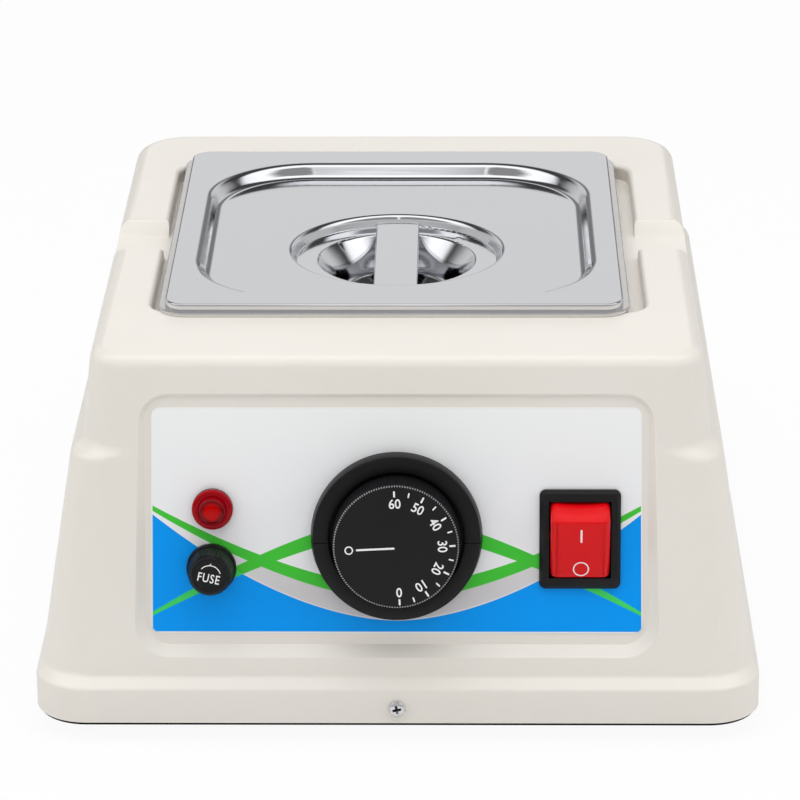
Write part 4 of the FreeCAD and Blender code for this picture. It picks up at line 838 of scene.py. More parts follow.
def turned(name: str, profile: Profile, vertices: int = 96,
           open_middle: bool = False) -> Piece:
    """Make a round piece ring by ring, as on a lathe.

    Args:
        name: The piece's name.
        profile: Radius and height of each ring in millimetres, from the back to the front.
        vertices: How many corners each ring has.
        open_middle: Whether the last ring joins the first, which leaves a hole.

    Returns:
        The piece, closed all over, about its own z axis.
    """
    radius, height = profile[0]
    piece = primitive(bpy.ops.mesh.primitive_circle_add, vertices=vertices, radius=radius * MM,
                      fill_type="NGON", location=(0, 0, height * MM))
    piece.name = piece.data.name = name
    with editing(piece):
        bpy.ops.mesh.select_mode(type="FACE")
        bpy.ops.mesh.select_all(action="SELECT")
        for next_radius, next_height in profile[1:]:
            bpy.ops.mesh.extrude_region_move(
                TRANSFORM_OT_translate={"value": (0, 0, (next_height - height) * MM)})
            if abs(next_radius - radius) > 1e-6:
                scale = next_radius / radius
                bpy.ops.transform.resize(value=(scale, scale, 1),
                                         center_override=(0, 0, next_height * MM))
            radius, height = next_radius, next_height
        if open_middle:
            pick(piece, "FACE", lambda face: len(face.verts) == vertices)
            bpy.ops.mesh.delete(type="ONLY_FACE")
            pick(piece, "EDGE", lambda edge: edge.is_boundary)
            bpy.ops.mesh.bridge_edge_loops()
        bpy.ops.mesh.select_all(action="SELECT")
        bpy.ops.mesh.normals_make_consistent(inside=False)
    return piece


def settle(obj: Piece, move: Matrix | None = None) -> Piece:
    """Move a piece and write its place into its mesh.

    Args:
        obj: The piece.
        move: The move; None leaves it where it is.

    Returns:
        The same piece.
    """
    if move is not None:
        obj.matrix_world = move @ obj.matrix_world
    only(obj)
    bpy.ops.object.transform_apply(location=True, rotation=True, scale=True)
    return obj


def primitive(adder: Callable[..., object], **settings: object) -> Piece:
    """Add a primitive with its place and scale written into its mesh.

    Args:
        adder: The operator that adds it.
        **settings: The operator's settings.

    Returns:
        The piece.
    """
    bpy.ops.object.select_all(action="DESELECT")
    adder(**settings)
    return settle(bpy.context.active_object)


def block(size: Sequence[float], middle: Sequence[float] = (0, 0, 0)) -> Piece:
    """Make a block.

    Args:
        size: Its three sides in millimetres.
        middle: Where its middle lies, in millimetres.

    Returns:
        The block.
    """
    return primitive(bpy.ops.mesh.primitive_cube_add, size=1,
                     location=[place * MM for place in middle],
                     scale=[side * MM for side in size])


def twin(model: Piece) -> Piece:
    """Copy a piece with a mesh of its own.

    Args:
        model: The piece.

    Returns:
        The copy.
    """
    copy = model.copy()
    copy.data = model.data.copy()
    bpy.context.scene.collection.objects.link(copy)
    return copy


def carve(piece: Piece, cutters: Sequence[Piece]) -> None:
    """Cut pieces out of another, one after the other, and drop them.

    Args:
        piece: What is cut.
        cutters: The pieces that are cut out.
    """
    for cutter in cutters:
        finish_modifier(piece, "BOOLEAN", operation="DIFFERENCE", object=cutter, solver="EXACT")
        bpy.data.objects.remove(cutter)


def flute(piece: Piece, ridges: int, inner: float, bottom: float, scale: float) -> None:
    """Draw in every second corner round the side of a turned piece.

    Args:
        piece: The piece, with two corners to each ridge.
        ridges: How many ridges it has.
        inner: Radius in millimetres that the side lies outside of.
        bottom: Height in millimetres that it lies above.
        scale: A groove's radius against the side's.
    """
    step = math.pi / ridges

    def in_groove(vert: bmesh.types.BMVert) -> bool:
        """Say whether a corner lies at the bottom of a groove.

        Args:
            vert: The corner.

        Returns:
            Whether it does.
        """
        number = round(math.atan2(vert.co.y, vert.co.x) / step)
        return (number % 2 == 0 and math.hypot(vert.co.x, vert.co.y) > inner * MM
                and vert.co.z > bottom * MM)

    with editing(piece):
        pick(piece, "VERT", in_groove)
        bpy.ops.transform.resize(value=(scale, scale, 1), center_override=(0, 0, 0))


def joined(name: str, pieces: Sequence[Piece]) -> Piece:
    """Join loose pieces into one.

    Args:
        name: The joined piece's name.
        pieces: The pieces.

    Returns:
        The joined piece.
    """
    only(pieces[0])
    for piece in pieces[1:]:
        piece.select_set(True)
    bpy.ops.object.join()
    pieces[0].name = pieces[0].data.name = name
    return pieces[0]


def smooth_copy(node: str, name: str) -> Piece:
    """Copy a CAD node as one welded skin with its flat faces whole.

    Args:
        node: The CAD node.
        name: The copy's name.

    Returns:
        The copy.
    """
    copy = bpy.data.objects.new(name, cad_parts[node].data.copy())
    bpy.context.scene.collection.objects.link(copy)
    with editing(copy):
        bpy.ops.mesh.select_all(action="SELECT")
        bpy.ops.mesh.customdata_custom_splitnormals_clear()
        bpy.ops.mesh.remove_doubles(threshold=WELD * MM)
        bpy.ops.mesh.dissolve_limited(angle_limit=math.radians(FLAT))
        bpy.ops.mesh.select_all(action="DESELECT")
    return copy


def rounded(obj: Piece, width: float, sharper: float = 35.0, segments: int = 2,
            test: Callable[[bmesh.types.BMEdge], bool] | None = None, clamp: bool = True) -> None:
    """Round the sharp edges of a piece.

    Args:
        obj: The piece.
        width: The round's width in millimetres.
        sharper: Edges sharper than this angle in degrees are rounded.
        segments: How many faces each round has.
        test: A further test that an edge has to pass.
        clamp: Whether the width gives way where edges are short.
    """
    limit = math.radians(sharper)
    with editing(obj):
        def wanted(edge: bmesh.types.BMEdge) -> bool:
            """Say whether an edge is sharp enough."""
            return (len(edge.link_faces) == 2 and edge.calc_face_angle(0) > limit
                    and (test is None or test(edge)))
        if pick(obj, "EDGE", wanted):
            bpy.ops.mesh.bevel(offset=width * MM, segments=segments, profile=0.5,
                               clamp_overlap=clamp, miter_outer="ARC")


def soften(obj: Piece, width: float, sharper: float = 35.0, segments: int = 2,
           shade: float = 32.0) -> None:
    """Round the sharp edges of a piece a little and shade it.

    Args:
        obj: The piece.
        width: The round's width in millimetres.
        sharper: Edges sharper than this angle in degrees are rounded.
        segments: How many faces each round has.
        shade: The angle up to which faces shade smoothly.
    """
    rounded(obj, width, sharper, segments)
    smooth(obj, shade)
    finish_modifier(obj, "WEIGHTED_NORMAL", keep_sharp=True, weight=80)


def lettering(body: str, height: float, bold: float, squeeze: float = 1.0,
              spacing: float = 1.0) -> Piece:
    """Make thin raised lettering that is centred on its own origin.

    Args:
        body: What it says.
        height: Height of a figure in millimetres.
        bold: How much each stroke grows, in millimetres.
        squeeze: Width against the font's own.
        spacing: Room between the figures against the font's own.

    Returns:
        The lettering as a mesh.
    """
    bpy.ops.object.select_all(action="DESELECT")
    bpy.ops.object.text_add(location=(0, 0, 0))
    text = bpy.context.active_object
    text.data.body = body
    text.data.align_x, text.data.align_y = "CENTER", "CENTER"
    text.data.size = height / 0.70 * MM
    text.data.offset = bold * MM
    text.data.space_character = spacing
    text.data.extrude = PRINT / 2 * MM
    text.data.resolution_u = 4
    text.scale = (squeeze, 1, 1)
    only(text)
    bpy.ops.object.convert(target="MESH")
    text = settle(bpy.context.active_object)
    with editing(text):
        bpy.ops.mesh.select_all(action="SELECT")
        bpy.ops.mesh.remove_doubles(threshold=0.001 * MM)
    return text


def bar(width: float, height: float, thickness: float = PRINT) -> Piece:
    """Make one printed stroke with rounded ends, centred on its own origin.

    Args:
        width: Its width in millimetres.
        height: Its length in millimetres.
        thickness: Its thickness in millimetres.

    Returns:
        The stroke.
    """
    stroke = block((width, height, thickness))
    with editing(stroke):
        pick(stroke, "EDGE", lambda edge: abs(edge.verts[0].co.z - edge.verts[1].co.z) > 1e-9)
        bpy.ops.mesh.bevel(offset=0.3 * min(width, height) * MM, segments=2)
    return stroke


def ring(radius: float, width: float, start: float = 0.0, sweep: float = 360.0) -> Piece:
    """Make a flat ring or part of one about its own z axis.

    Args:
        radius: Radius of its middle in millimetres.
        width: Its width.
        start: Angle in degrees where it starts.
        sweep: How far it goes round from there, clockwise.

    Returns:
        The ring.
    """
    stroke = block((width, width, PRINT))
    with editing(stroke):
        pick(stroke, "FACE", lambda face: face.normal.y < 0.99)
        bpy.ops.mesh.delete(type="FACE")
        bpy.ops.mesh.select_all(action="SELECT")
        bpy.ops.transform.translate(value=(radius * MM, 0, 0))
        bpy.ops.mesh.spin(steps=max(6, int(sweep / 6)), angle=math.radians(sweep), axis=(0, 0, 1),
                          center=(0, 0, 0))
        bpy.ops.mesh.select_all(action="SELECT")
        bpy.ops.mesh.remove_doubles(threshold=0.002 * MM)
        bpy.ops.mesh.normals_make_consistent(inside=False)
    return settle(stroke, Matrix.Rotation(math.radians(start), 4, "Z"))


@dataclass
class SubAssembly:
    """A group of pieces that belong together."""

    shop: PaintShop
    pieces: list[str] = field(default_factory=list)

    def keep(self, obj: Piece, body: str, slot: Slot, *nodes: str) -> None:
        """Hand a finished piece over to the object.

        Args:
            obj: The piece.
            body: The body that it moves with.
            slot: Its finish.
            *nodes: The CAD nodes that it stands for.
        """
        self.shop.coat(obj, slot)
        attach(obj, body)
        if nodes:
            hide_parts(*nodes)
        self.pieces.append(obj.name)

    def dress(self, slot: Slot, *nodes: str) -> None:
        """Give CAD nodes a finish and leave their shape.

        Args:
            slot: The finish.
            *nodes: The CAD nodes.
        """
        for node in nodes:
            self.shop.coat(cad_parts[node], slot)
            self.pieces.append(node)

    def tidy_copy(self, node: str, body: str, slot: Slot, width: float = 0.3,
                  sharper: float = 40.0, segments: int = 2) -> None:
        """Stand a welded copy with softened edges in for a CAD node.

        Args:
            node: The CAD node.
            body: The body that it belongs to.
            slot: Its finish.
            width: Width of the rounds in millimetres.
            sharper: Edges sharper than this angle are rounded.
            segments: How many faces each round has.
        """
        copy = smooth_copy(node, node + "_finished")
        soften(copy, width, sharper, segments)
        self.keep(copy, body, slot, node)

    def build(self) -> None:
        """Build and dress the pieces."""
        raise NotImplementedError


@dataclass
class Housing(SubAssembly):
    """Moulded housing with its shoulders, notches and sunk panel."""

    edge_round: float = 0.7

    def build(self) -> None:
        """Weld the shell, soften its edges and coat it."""
        shell = smooth_copy("outer_casing", "housing_shell")
        soften(shell, self.edge_round, sharper=33.0, segments=3, shade=34.0)
        self.keep(shell, "housing", Slot.HOUSING, "outer_casing")


@dataclass
class SkirtScrews(SubAssembly):
    """Cross-head screws in the middle of each side of the skirt."""

    head_radius: float = 2.8
    head_height: float = 1.7
    cross_length: float = 3.5
    cross_width: float = 0.95
    cross_depth: float = 1.4
    height: float = 12.8
    reach_x: float = 123.3374
    reach_y: float = 146.6925
    side_sink: float = 1.4
    middle_y: float = -0.9338

    def _head(self) -> Piece:
        """Domed head with a tapered cross sunk in it, marked for painted shade.

        Returns:
            The head, face up.
        """
        top = self.head_height
        head = turned("skirt_screw_head", [
            (self.head_radius * share, height) for share, height in
            ((0.94, -0.05), (1.0, 0.15), (1.0, 0.45 * top), (0.93, 0.7 * top), (0.76, 0.9 * top),
             (0.5, 0.98 * top), (0.2, top))], 48)
        smooth(head, 40)
        cutters = []
        for angle in (0, 90):
            cutter = block((self.cross_length, self.cross_width, self.cross_depth + 0.4),
                           (0, 0, top - self.cross_depth / 2 + 0.2))
            with editing(cutter):
                pick(cutter, "FACE", lambda face: face.normal.z < -0.9)
                bpy.ops.transform.resize(value=(0.5, 0.9, 1), center_override=(0, 0, 0))
            cutters.append(settle(cutter, Matrix.Rotation(math.radians(angle), 4, "Z")))
        carve(head, cutters)
        smooth(head, 35)
        # Mark the cross's faces, which the zinc finish darkens as painted shade.
        marks = head.data.attributes.new("recess", "FLOAT", "FACE").data
        for face, mark in zip(head.data.polygons, marks):
            middle = face.center / MM
            below = middle.z < top - self.cross_depth + 0.3 or abs(face.normal.z) < 0.4
            mark.value = float(below and middle.xy.length < self.cross_length / 2 + 0.1)
        return head

    def build(self) -> None:
        """Model one head, copy it to the four sides and coat them."""
        model = self._head()
        heads = []
        sunk = self.reach_x - self.side_sink
        for turn, spot, twist in ((0, (0, self.middle_y - self.reach_y), 12),
                                  (90, (sunk, self.middle_y), 40),
                                  (180, (0, self.middle_y + self.reach_y), 71),
                                  (270, (-sunk, self.middle_y), 25)):
            head = twin(model)
            head.matrix_world = (Matrix.Translation(Vector((*spot, self.height)) * MM)
                                 @ Matrix.Rotation(math.radians(turn), 4, "Z")
                                 @ Matrix.Rotation(math.pi / 2, 4, "X")
                                 @ Matrix.Rotation(math.radians(twist), 4, "Z"))
            heads.append(settle(head))
        bpy.data.objects.remove(model)
        self.keep(joined("skirt_screw_heads", heads), "housing", Slot.ZINC, "skirt_screws")


@dataclass
class Base(SubAssembly):
    """Sheet base with its feet and their fasteners."""

    def build(self) -> None:
        """Soften the plate and feet, and coat the fasteners."""
        self.tidy_copy("base_plate", "housing", Slot.BASE, 0.25)
        self.tidy_copy("rubber_feet", "housing", Slot.FOOT, 0.5, 50.0)
        self.dress(Slot.ZINC, "foot_screws", "foot_nuts")


@dataclass
class CableEntry(SubAssembly):
    """Cable gland in the rear wall, and the terminal block behind it."""

    def build(self) -> None:
        """Soften the gland's outer pieces and coat the rest."""
        self.tidy_copy("cable_gland_body", "housing", Slot.BLACK, 0.3)
        self.tidy_copy("gland_dome_nut", "housing", Slot.BLACK, 0.3)
        self.tidy_copy("gland_seal", "housing", Slot.SEAL, 0.25)
        self.dress(Slot.BLACK, "gland_locknut")
        self.dress(Slot.WHITE, "terminal_block")
        self.dress(Slot.ZINC, "terminal_screws")


@dataclass
class HeatedWell(SubAssembly):
    """Aluminium well with its gasket, screws, heater and insulation."""

    def build(self) -> None:
        """Weld the well and coat what lies round it."""
        self.tidy_copy("heating_well", "housing", Slot.WELL, 0.3)
        self.tidy_copy("well_screws", "housing", Slot.ZINC, 0.2)
        self.dress(Slot.SILICONE, "well_gasket", "heater_mat")
        self.dress(Slot.FIBRE, "insulation_pad", "insulation_jacket")
        self.dress(Slot.COPPER, "sensor_bulb", "capillary_tube")
        self.dress(Slot.ZINC, "bulb_clip")


@dataclass
class FoodPan(SubAssembly):
    """Drawn steel pan."""

    def build(self) -> None:
        """Weld the pan and soften its rim."""
        self.tidy_copy("food_pan", "pan", Slot.PAN, 0.35, 30.0, 3)


@dataclass
class Lid(SubAssembly):
    """Pressed lid and its strap."""

    middle: tuple[float, float] = (-1.4, 1.966)
    tray_reach: tuple[float, float] = (80.0, 73.0)
    cup_level: float = 128.5
    press_round: float = 1.7

    def build(self) -> None:
        """Weld the plate, soften the pressing's edges and the strap's."""
        plate = smooth_copy("lid_plate", "lid_pressing")

        def in_tray(edge: bmesh.types.BMEdge) -> bool:
            """Say whether an edge belongs to the tray or the grip cup.

            Args:
                edge: The edge.

            Returns:
                Whether it does.
            """
            middle = (edge.verts[0].co + edge.verts[1].co) / (2 * MM)
            return (abs(middle.x - self.middle[0]) < self.tray_reach[0]
                    and abs(middle.y - self.middle[1]) < self.tray_reach[1]
                    and middle.z > self.cup_level)

        rounded(plate, self.press_round, 28.0, 5, in_tray, clamp=False)
        soften(plate, 0.35, sharper=28.0, segments=3, shade=40.0)
        self.keep(plate, "lid", Slot.LID, "lid_plate")
        self.tidy_copy("lid_handle", "lid", Slot.LID, 0.35, 30.0, 3)


@dataclass
class ControlFilm(SubAssembly):
    """Printed film on the sunk panel."""

    def build(self) -> None:
        """Coat the film."""
        self.dress(Slot.FILM, "control_overlay")


@dataclass
class Dial(SubAssembly):
    """Thermostat dial: ring, fluted knob and its printed scale."""

    bezel_radius: float = 28.9
    bezel_face: float = 28.2
    bezel_height: float = 5.4
    mouth: float = 22.6
    bezel_floor: float = 1.7
    seam_up: float = -1.5
    seam_width: float = 0.34
    knob_radius: float = 21.9
    knob_face: float = 20.9
    knob_back: float = 2.3
    knob_reach: float = 16.5
    knob_wall: float = 2.0
    hub_radius: float = 6.0
    shaft_radius: float = 3.05
    shaft_in_knob: float = 9.2
    ridges: int = 150
    ridge_depth: float = 0.35
    scale_turn: float = 2.7
    scale_shift: tuple[float, float] = (0.3, -0.4)
    strokes: int = 13
    stroke_step: int = 15
    stroke_radius: float = 18.5
    figure_radius: float = 15.0
    figure_height: float = 3.15
    pointer_turn: float = 270.0

    def _bezel(self) -> Piece:
        """Ring with a soft outer edge, a recess for the knob and two seams.

        Returns:
            The ring, in its place on the panel.
        """
        base, top = 0.3, self.bezel_height
        ring_piece = turned("dial_ring", [
            (self.bezel_radius - 0.1, base), (self.bezel_radius, base + 0.3),
            (self.bezel_face + 0.08, top - 0.5), (self.bezel_face - 0.1, top - 0.16),
            (self.bezel_face - 0.45, top), (self.mouth + 0.7, top), (self.mouth + 0.25, top - 0.15),
            (self.mouth, top - 0.6), (self.mouth, self.bezel_floor), (5.3, self.bezel_floor),
            (5.3, base)], 160, open_middle=True)
        cutters = []
        for side in (-1, 1):
            cutters.append(block((self.bezel_radius - self.mouth - 0.8, self.seam_width, 0.9),
                                 (side * (self.mouth + self.bezel_radius) / 2, self.seam_up,
                                  top)))
            cutters.append(block((1.4, self.seam_width, 2 * top),
                                 (side * (self.bezel_radius + 0.25), self.seam_up, top / 2)))
        smooth(ring_piece, 30)
        carve(ring_piece, cutters)
        smooth(ring_piece, 30)
        return settle(ring_piece, PANEL.matrix)

    def _knob(self) -> Piece:
        """Knob with fine ridges down its side and a flat face inside them.

        Returns:
            The knob, in its place on the panel.
        """
        reach, back = self.knob_reach, self.knob_back
        inside = reach - self.knob_wall
        knob = turned("dial_knob", [
            (self.shaft_radius, back + self.shaft_in_knob), (self.shaft_radius, back),
            (self.hub_radius, back), (self.hub_radius, inside),
            (self.knob_face - self.knob_wall, inside), (self.knob_radius - self.knob_wall, back),
            (self.knob_radius - 0.2, back),
            (self.knob_radius, back + 0.25), (self.knob_face + 0.05, reach - 0.55),
            (self.knob_face - 0.42, reach - 0.1), (self.knob_face - 0.75, reach)],
            2 * self.ridges)
        flute(knob, self.ridges, self.knob_face - 0.5, back + 0.1,
              1 - self.ridge_depth / self.knob_face)
        smooth(knob, 24)
        return settle(knob, PANEL.matrix)

    def _tips(self) -> Piece:
        """Pale tips of the ridges round the knob's face: a painted highlight where light catches
        them.

        Returns:
            All the tips as one piece, in their place on the panel.
        """
        model = bar(0.46, 0.66, 0.08)
        tips = []
        for number in range(self.ridges):
            tip = twin(model)
            angle = (2 * number + 1) * math.pi / self.ridges
            tip.matrix_world = (
                Matrix.Rotation(angle, 4, "Z")
                @ Matrix.Translation(Vector((0, self.knob_face - 0.17, self.knob_reach - 0.3)) * MM)
                @ Matrix.Rotation(math.radians(-44), 4, "X"))
            tips.append(tip)
        bpy.data.objects.remove(model)
        return settle(settle(joined("dial_ridge_tips", tips)), PANEL.matrix)

    def _marks(self) -> Piece:
        """Numbers, strokes and pointer on the knob's face.

        Returns:
            All the marks as one piece, in their place on the panel.
        """
        level = self.knob_reach + 0.01
        marks = []

        def lay(piece: Piece, angle: float, radius: float) -> None:
            """Put a mark at an angle clockwise from the top, at a radius."""
            marks.append(settle(piece, (
                Matrix.Translation(Vector((*self.scale_shift, level)) * MM)
                @ Matrix.Rotation(math.radians(self.scale_turn - angle), 4, "Z")
                @ Matrix.Translation((0, radius * MM, 0)))))

        for number in range(self.strokes):
            angle = number * self.stroke_step
            if number % 2:
                lay(bar(0.5, 1.7), angle, self.stroke_radius)
            else:
                lay(bar(0.62, 2.1), angle, self.stroke_radius)
                figure = lettering(str(60 - number * 5), self.figure_height, 0.06, 0.92)
                lay(figure, angle, self.figure_radius)
        lay(ring(1.2, 0.44), self.pointer_turn, 16.0)
        lay(bar(0.66, 12.8), self.pointer_turn, 7.2)
        return settle(joined("dial_scale", marks), PANEL.matrix)

    def build(self) -> None:
        """Build ring, knob and scale, and coat what lies behind."""
        self.keep(self._bezel(), "housing", Slot.BLACK, "thermostat_bezel")
        self.keep(self._knob(), "knob", Slot.KNOB, "control_knob")
        # The pale ridge tips are a painted highlight.
        self.keep(self._tips(), "knob", Slot.WORN)
        self.keep(self._marks(), "knob", Slot.INK)
        self.dress(Slot.ZINC, "thermostat_shaft", "thermostat_screws")
        self.dress(Slot.RESIN, "thermostat_body")
        self.dress(Slot.BRASS, "thermostat_terminals")


@dataclass
class PilotLamp(SubAssembly):
    """Clear red lamp with a stepped lens."""

    across: float = -61.8
    up: float = 9.3
    flange: float = 6.9
    dome: float = 4.4

    def build(self) -> None:
        """Turn the lens and coat the lamp's body and nut."""
        lens = turned("lamp_lens_clear", [
            (self.flange - 0.1, 1.3), (self.flange, 1.5), (self.flange, 2.4),
            (self.flange - 0.25, 2.9), (self.flange - 0.8, 3.2), (self.dome + 0.6, 3.2),
            (self.dome + 0.15, 3.05), (self.dome, 3.3), (self.dome, 5.0), (self.dome - 0.35, 5.8),
            (self.dome - 1.1, 6.35), (self.dome - 2.2, 6.6), (0.8, 6.6)], 72)
        smooth(lens, 35)
        settle(lens, PANEL.shifted(self.across, self.up).matrix)
        self.keep(lens, "housing", Slot.LENS, "lamp_lens")
        self.dress(Slot.BLACK, "lamp_body", "lamp_nut")


@dataclass
class FuseHolder(SubAssembly):
    """Panel fuse holder: flange, ridged cap with its lettering, and the fuse."""

    across: float = -62.4
    up: float = -11.2
    radius: float = 7.8
    face: float = 6.0
    seat: float = 2.8
    reach: float = 12.5
    plug: float = 4.1
    plug_end: float = -9.2
    bore: float = 2.68
    bore_floor: float = -3.0
    ridges: int = 60
    groove: float = 0.955
    word_turn: float = -12.0

    def _cap(self) -> Piece:
        """Cap with fine ridges, a bevelled shoulder and a sunk face.

        Returns:
            The cap, about its own axis.
        """
        cap = turned("fuse_cap_ridged", [
            (self.bore, self.bore_floor), (self.bore, self.plug_end), (self.plug, self.plug_end),
            (self.plug, self.seat), (self.radius - 0.1, self.seat),
            (self.radius, self.seat + 0.3), (self.radius - 0.5, self.reach - 2.2),
            (self.radius - 0.75, self.reach - 1.3), (self.radius - 1.25, self.reach - 0.55),
            (self.face + 0.1, self.reach - 0.1), (self.face - 0.25, self.reach),
            (self.face - 0.55, self.reach), (self.face - 0.7, self.reach - 0.22),
            (self.face - 1.0, self.reach - 0.25)], 2 * self.ridges)
        flute(cap, self.ridges, self.radius - 1.4, self.seat + 0.2, self.groove)
        smooth(cap, 24)
        return cap

    def _marks(self) -> Piece:
        """The word on the cap's face, with a turning arrow over it.

        Returns:
            The marks as one piece, about the cap's axis.
        """
        word = settle(lettering("FUSE", 3.0, 0.04, 0.76, 1.14),
                      Matrix.Translation((-0.2 * MM, -0.9 * MM, 0)))
        arc = ring(3.7, 0.3, start=146, sweep=122)
        head = settle(bar(0.26, 1.1), (Matrix.Rotation(math.radians(10), 4, "Z")
                                       @ Matrix.Translation((0.1 * MM, 3.95 * MM, 0))
                                       @ Matrix.Rotation(math.radians(-38), 4, "Z")))
        return settle(joined("fuse_lettering", [word, arc, head]),
                      Matrix.Translation((0, 0, (self.reach - 0.24) * MM))
                      @ Matrix.Rotation(math.radians(self.word_turn), 4, "Z"))

    def build(self) -> None:
        """Soften the flange, build the cap and its lettering, and coat the rest."""
        place = PANEL.shifted(self.across, self.up).matrix
        self.tidy_copy("fuse_holder_body", "housing", Slot.BLACK, 0.25)
        cap, marks = self._cap(), self._marks()
        for piece in (cap, marks):
            settle(piece, place)
        self.keep(cap, "fuse_cap", Slot.BLACK, "fuse_cap")
        self.keep(marks, "fuse_cap", Slot.INK)
        self.dress(Slot.BLACK, "fuse_holder_nut")
        self.dress(Slot.GLASS, "fuse_glass")
        self.dress(Slot.ZINC, "fuse_end_caps")


@dataclass
class MainsSwitch(SubAssembly):
    """Rocker switch with its frame and marks."""

    across: float = 61.6
    up: float = -1.1
    pivot: float = -3.5
    rest_turn: float = 16.0
    drum: float = 14.2
    half_width: float = 10.0
    chord: float = 9.6
    below: float = 4.0
    pin_radius: float = 1.6
    pin_length: float = 1.35
    scoop: float = 0.9
    scoop_run: float = 5.0
    side_round: float = 2.5
    slices: int = 10
    crease_round: float = 0.18
    cap_round: float = 0.75

    def _rocker(self) -> Piece:
        """Drum with one flat face, soft edges and a hollow for the finger at each end.

        Returns:
            The rocker, about its own pivot.
        """
        drum, pins = (
            primitive(bpy.ops.mesh.primitive_cylinder_add, vertices=96, radius=radius * MM,
                      depth=2 * half * MM, rotation=(0, math.pi / 2, 0))
            for radius, half in ((self.drum, self.half_width),
                                 (self.pin_radius, self.half_width + self.pin_length)))
        cuts = [2 * number / self.slices - 1 for number in range(1, self.slices)]
        with editing(drum):
            for height, up in ((self.chord, 1), (-self.below, -1)):
                bpy.ops.mesh.select_all(action="SELECT")
                bpy.ops.mesh.bisect(plane_co=(0, 0, height * MM), plane_no=(0, 0, up),
                                    use_fill=True, clear_outer=True)
            for across in cuts:
                bpy.ops.mesh.select_all(action="SELECT")
                bpy.ops.mesh.bisect(plane_co=(across * self.half_width * MM, 0, 0),
                                    plane_no=(1, 0, 0))
            corners = bmesh.from_edit_mesh(drum.data).verts
            for level in sorted({round(vert.co.z / MM, 2) for vert in corners}):
                drop = min(1.0, (self.chord - level) / self.scoop_run)
                for across in cuts:

                    def on_drum(vert: bmesh.types.BMVert) -> bool:
                        """Say whether a corner lies on this slice of the drum at this level."""
                        return (abs(vert.co.x / MM - across * self.half_width) < 0.01
                                and math.hypot(vert.co.y, vert.co.z) > (self.drum - 0.1) * MM
                                and abs(vert.co.z / MM - level) < 0.006)

                    if drop > 0.01 and pick(drum, "VERT", on_drum):
                        scale = 1 - self.scoop * drop * (1 - across * across) / self.drum
                        bpy.ops.transform.resize(value=(1, scale, scale), center_override=(0, 0, 0))
            pick(drum, "EDGE", lambda edge: edge.calc_face_angle(0) > math.radians(30))
            bpy.ops.transform.edge_bevelweight(value=self.crease_round)
            pick(drum, "EDGE", lambda edge: edge.calc_face_angle(0) > math.radians(30)
                 and all(abs(vert.co.x) > (self.half_width - 0.01) * MM for vert in edge.verts))
            bpy.ops.transform.edge_bevelweight(value=self.cap_round)
        finish_modifier(drum, "BEVEL", width=self.side_round * MM, segments=5,
                        limit_method="WEIGHT", use_clamp_overlap=False)
        finish_modifier(pins, "BEVEL", width=0.3 * MM, segments=3, limit_method="ANGLE",
                        angle_limit=math.radians(32), use_clamp_overlap=False)
        rocker = joined("rocker_body", [drum, pins])
        smooth(rocker, 38)
        return rocker

    def _marks(self) -> Piece:
        """The on and off marks on the rocker's face.

        Returns:
            The marks as one piece, about the rocker's pivot.
        """
        level = (self.chord + 0.01) * MM
        on = settle(bar(0.64, 4.9), Matrix.Translation((0.3 * MM, 5.4 * MM, level)))
        off = settle(ring(2.5, 0.4), Matrix.Translation((0.3 * MM, -7.3 * MM, level)))
        return joined("rocker_marks", [on, off])

    def build(self) -> None:
        """Soften the frame, build the rocker, print the marks and coat the blades."""
        self.tidy_copy("switch_housing", "housing", Slot.BLACK, 0.35)
        place = PANEL.shifted(self.across, self.up, self.pivot, math.radians(self.rest_turn))
        rocker, marks = self._rocker(), self._marks()
        for piece in (rocker, marks):
            settle(piece, place.matrix)
        self.keep(rocker, "rocker", Slot.RED, "switch_rocker")
        self.keep(marks, "rocker", Slot.INK)
        self.dress(Slot.BRASS, "switch_terminals")


# name, place and size in metres, power in watts
LAMPS = (("top_box", (-0.05, -0.38, 1.5), (2.4, 1.1), 14.6),
         ("left_box", (-1.2, -0.6, 0.6), (0.5, 0.6), 2.0),
         ("right_box", (1.2, -0.6, 0.6), (0.5, 0.6), 2.0))


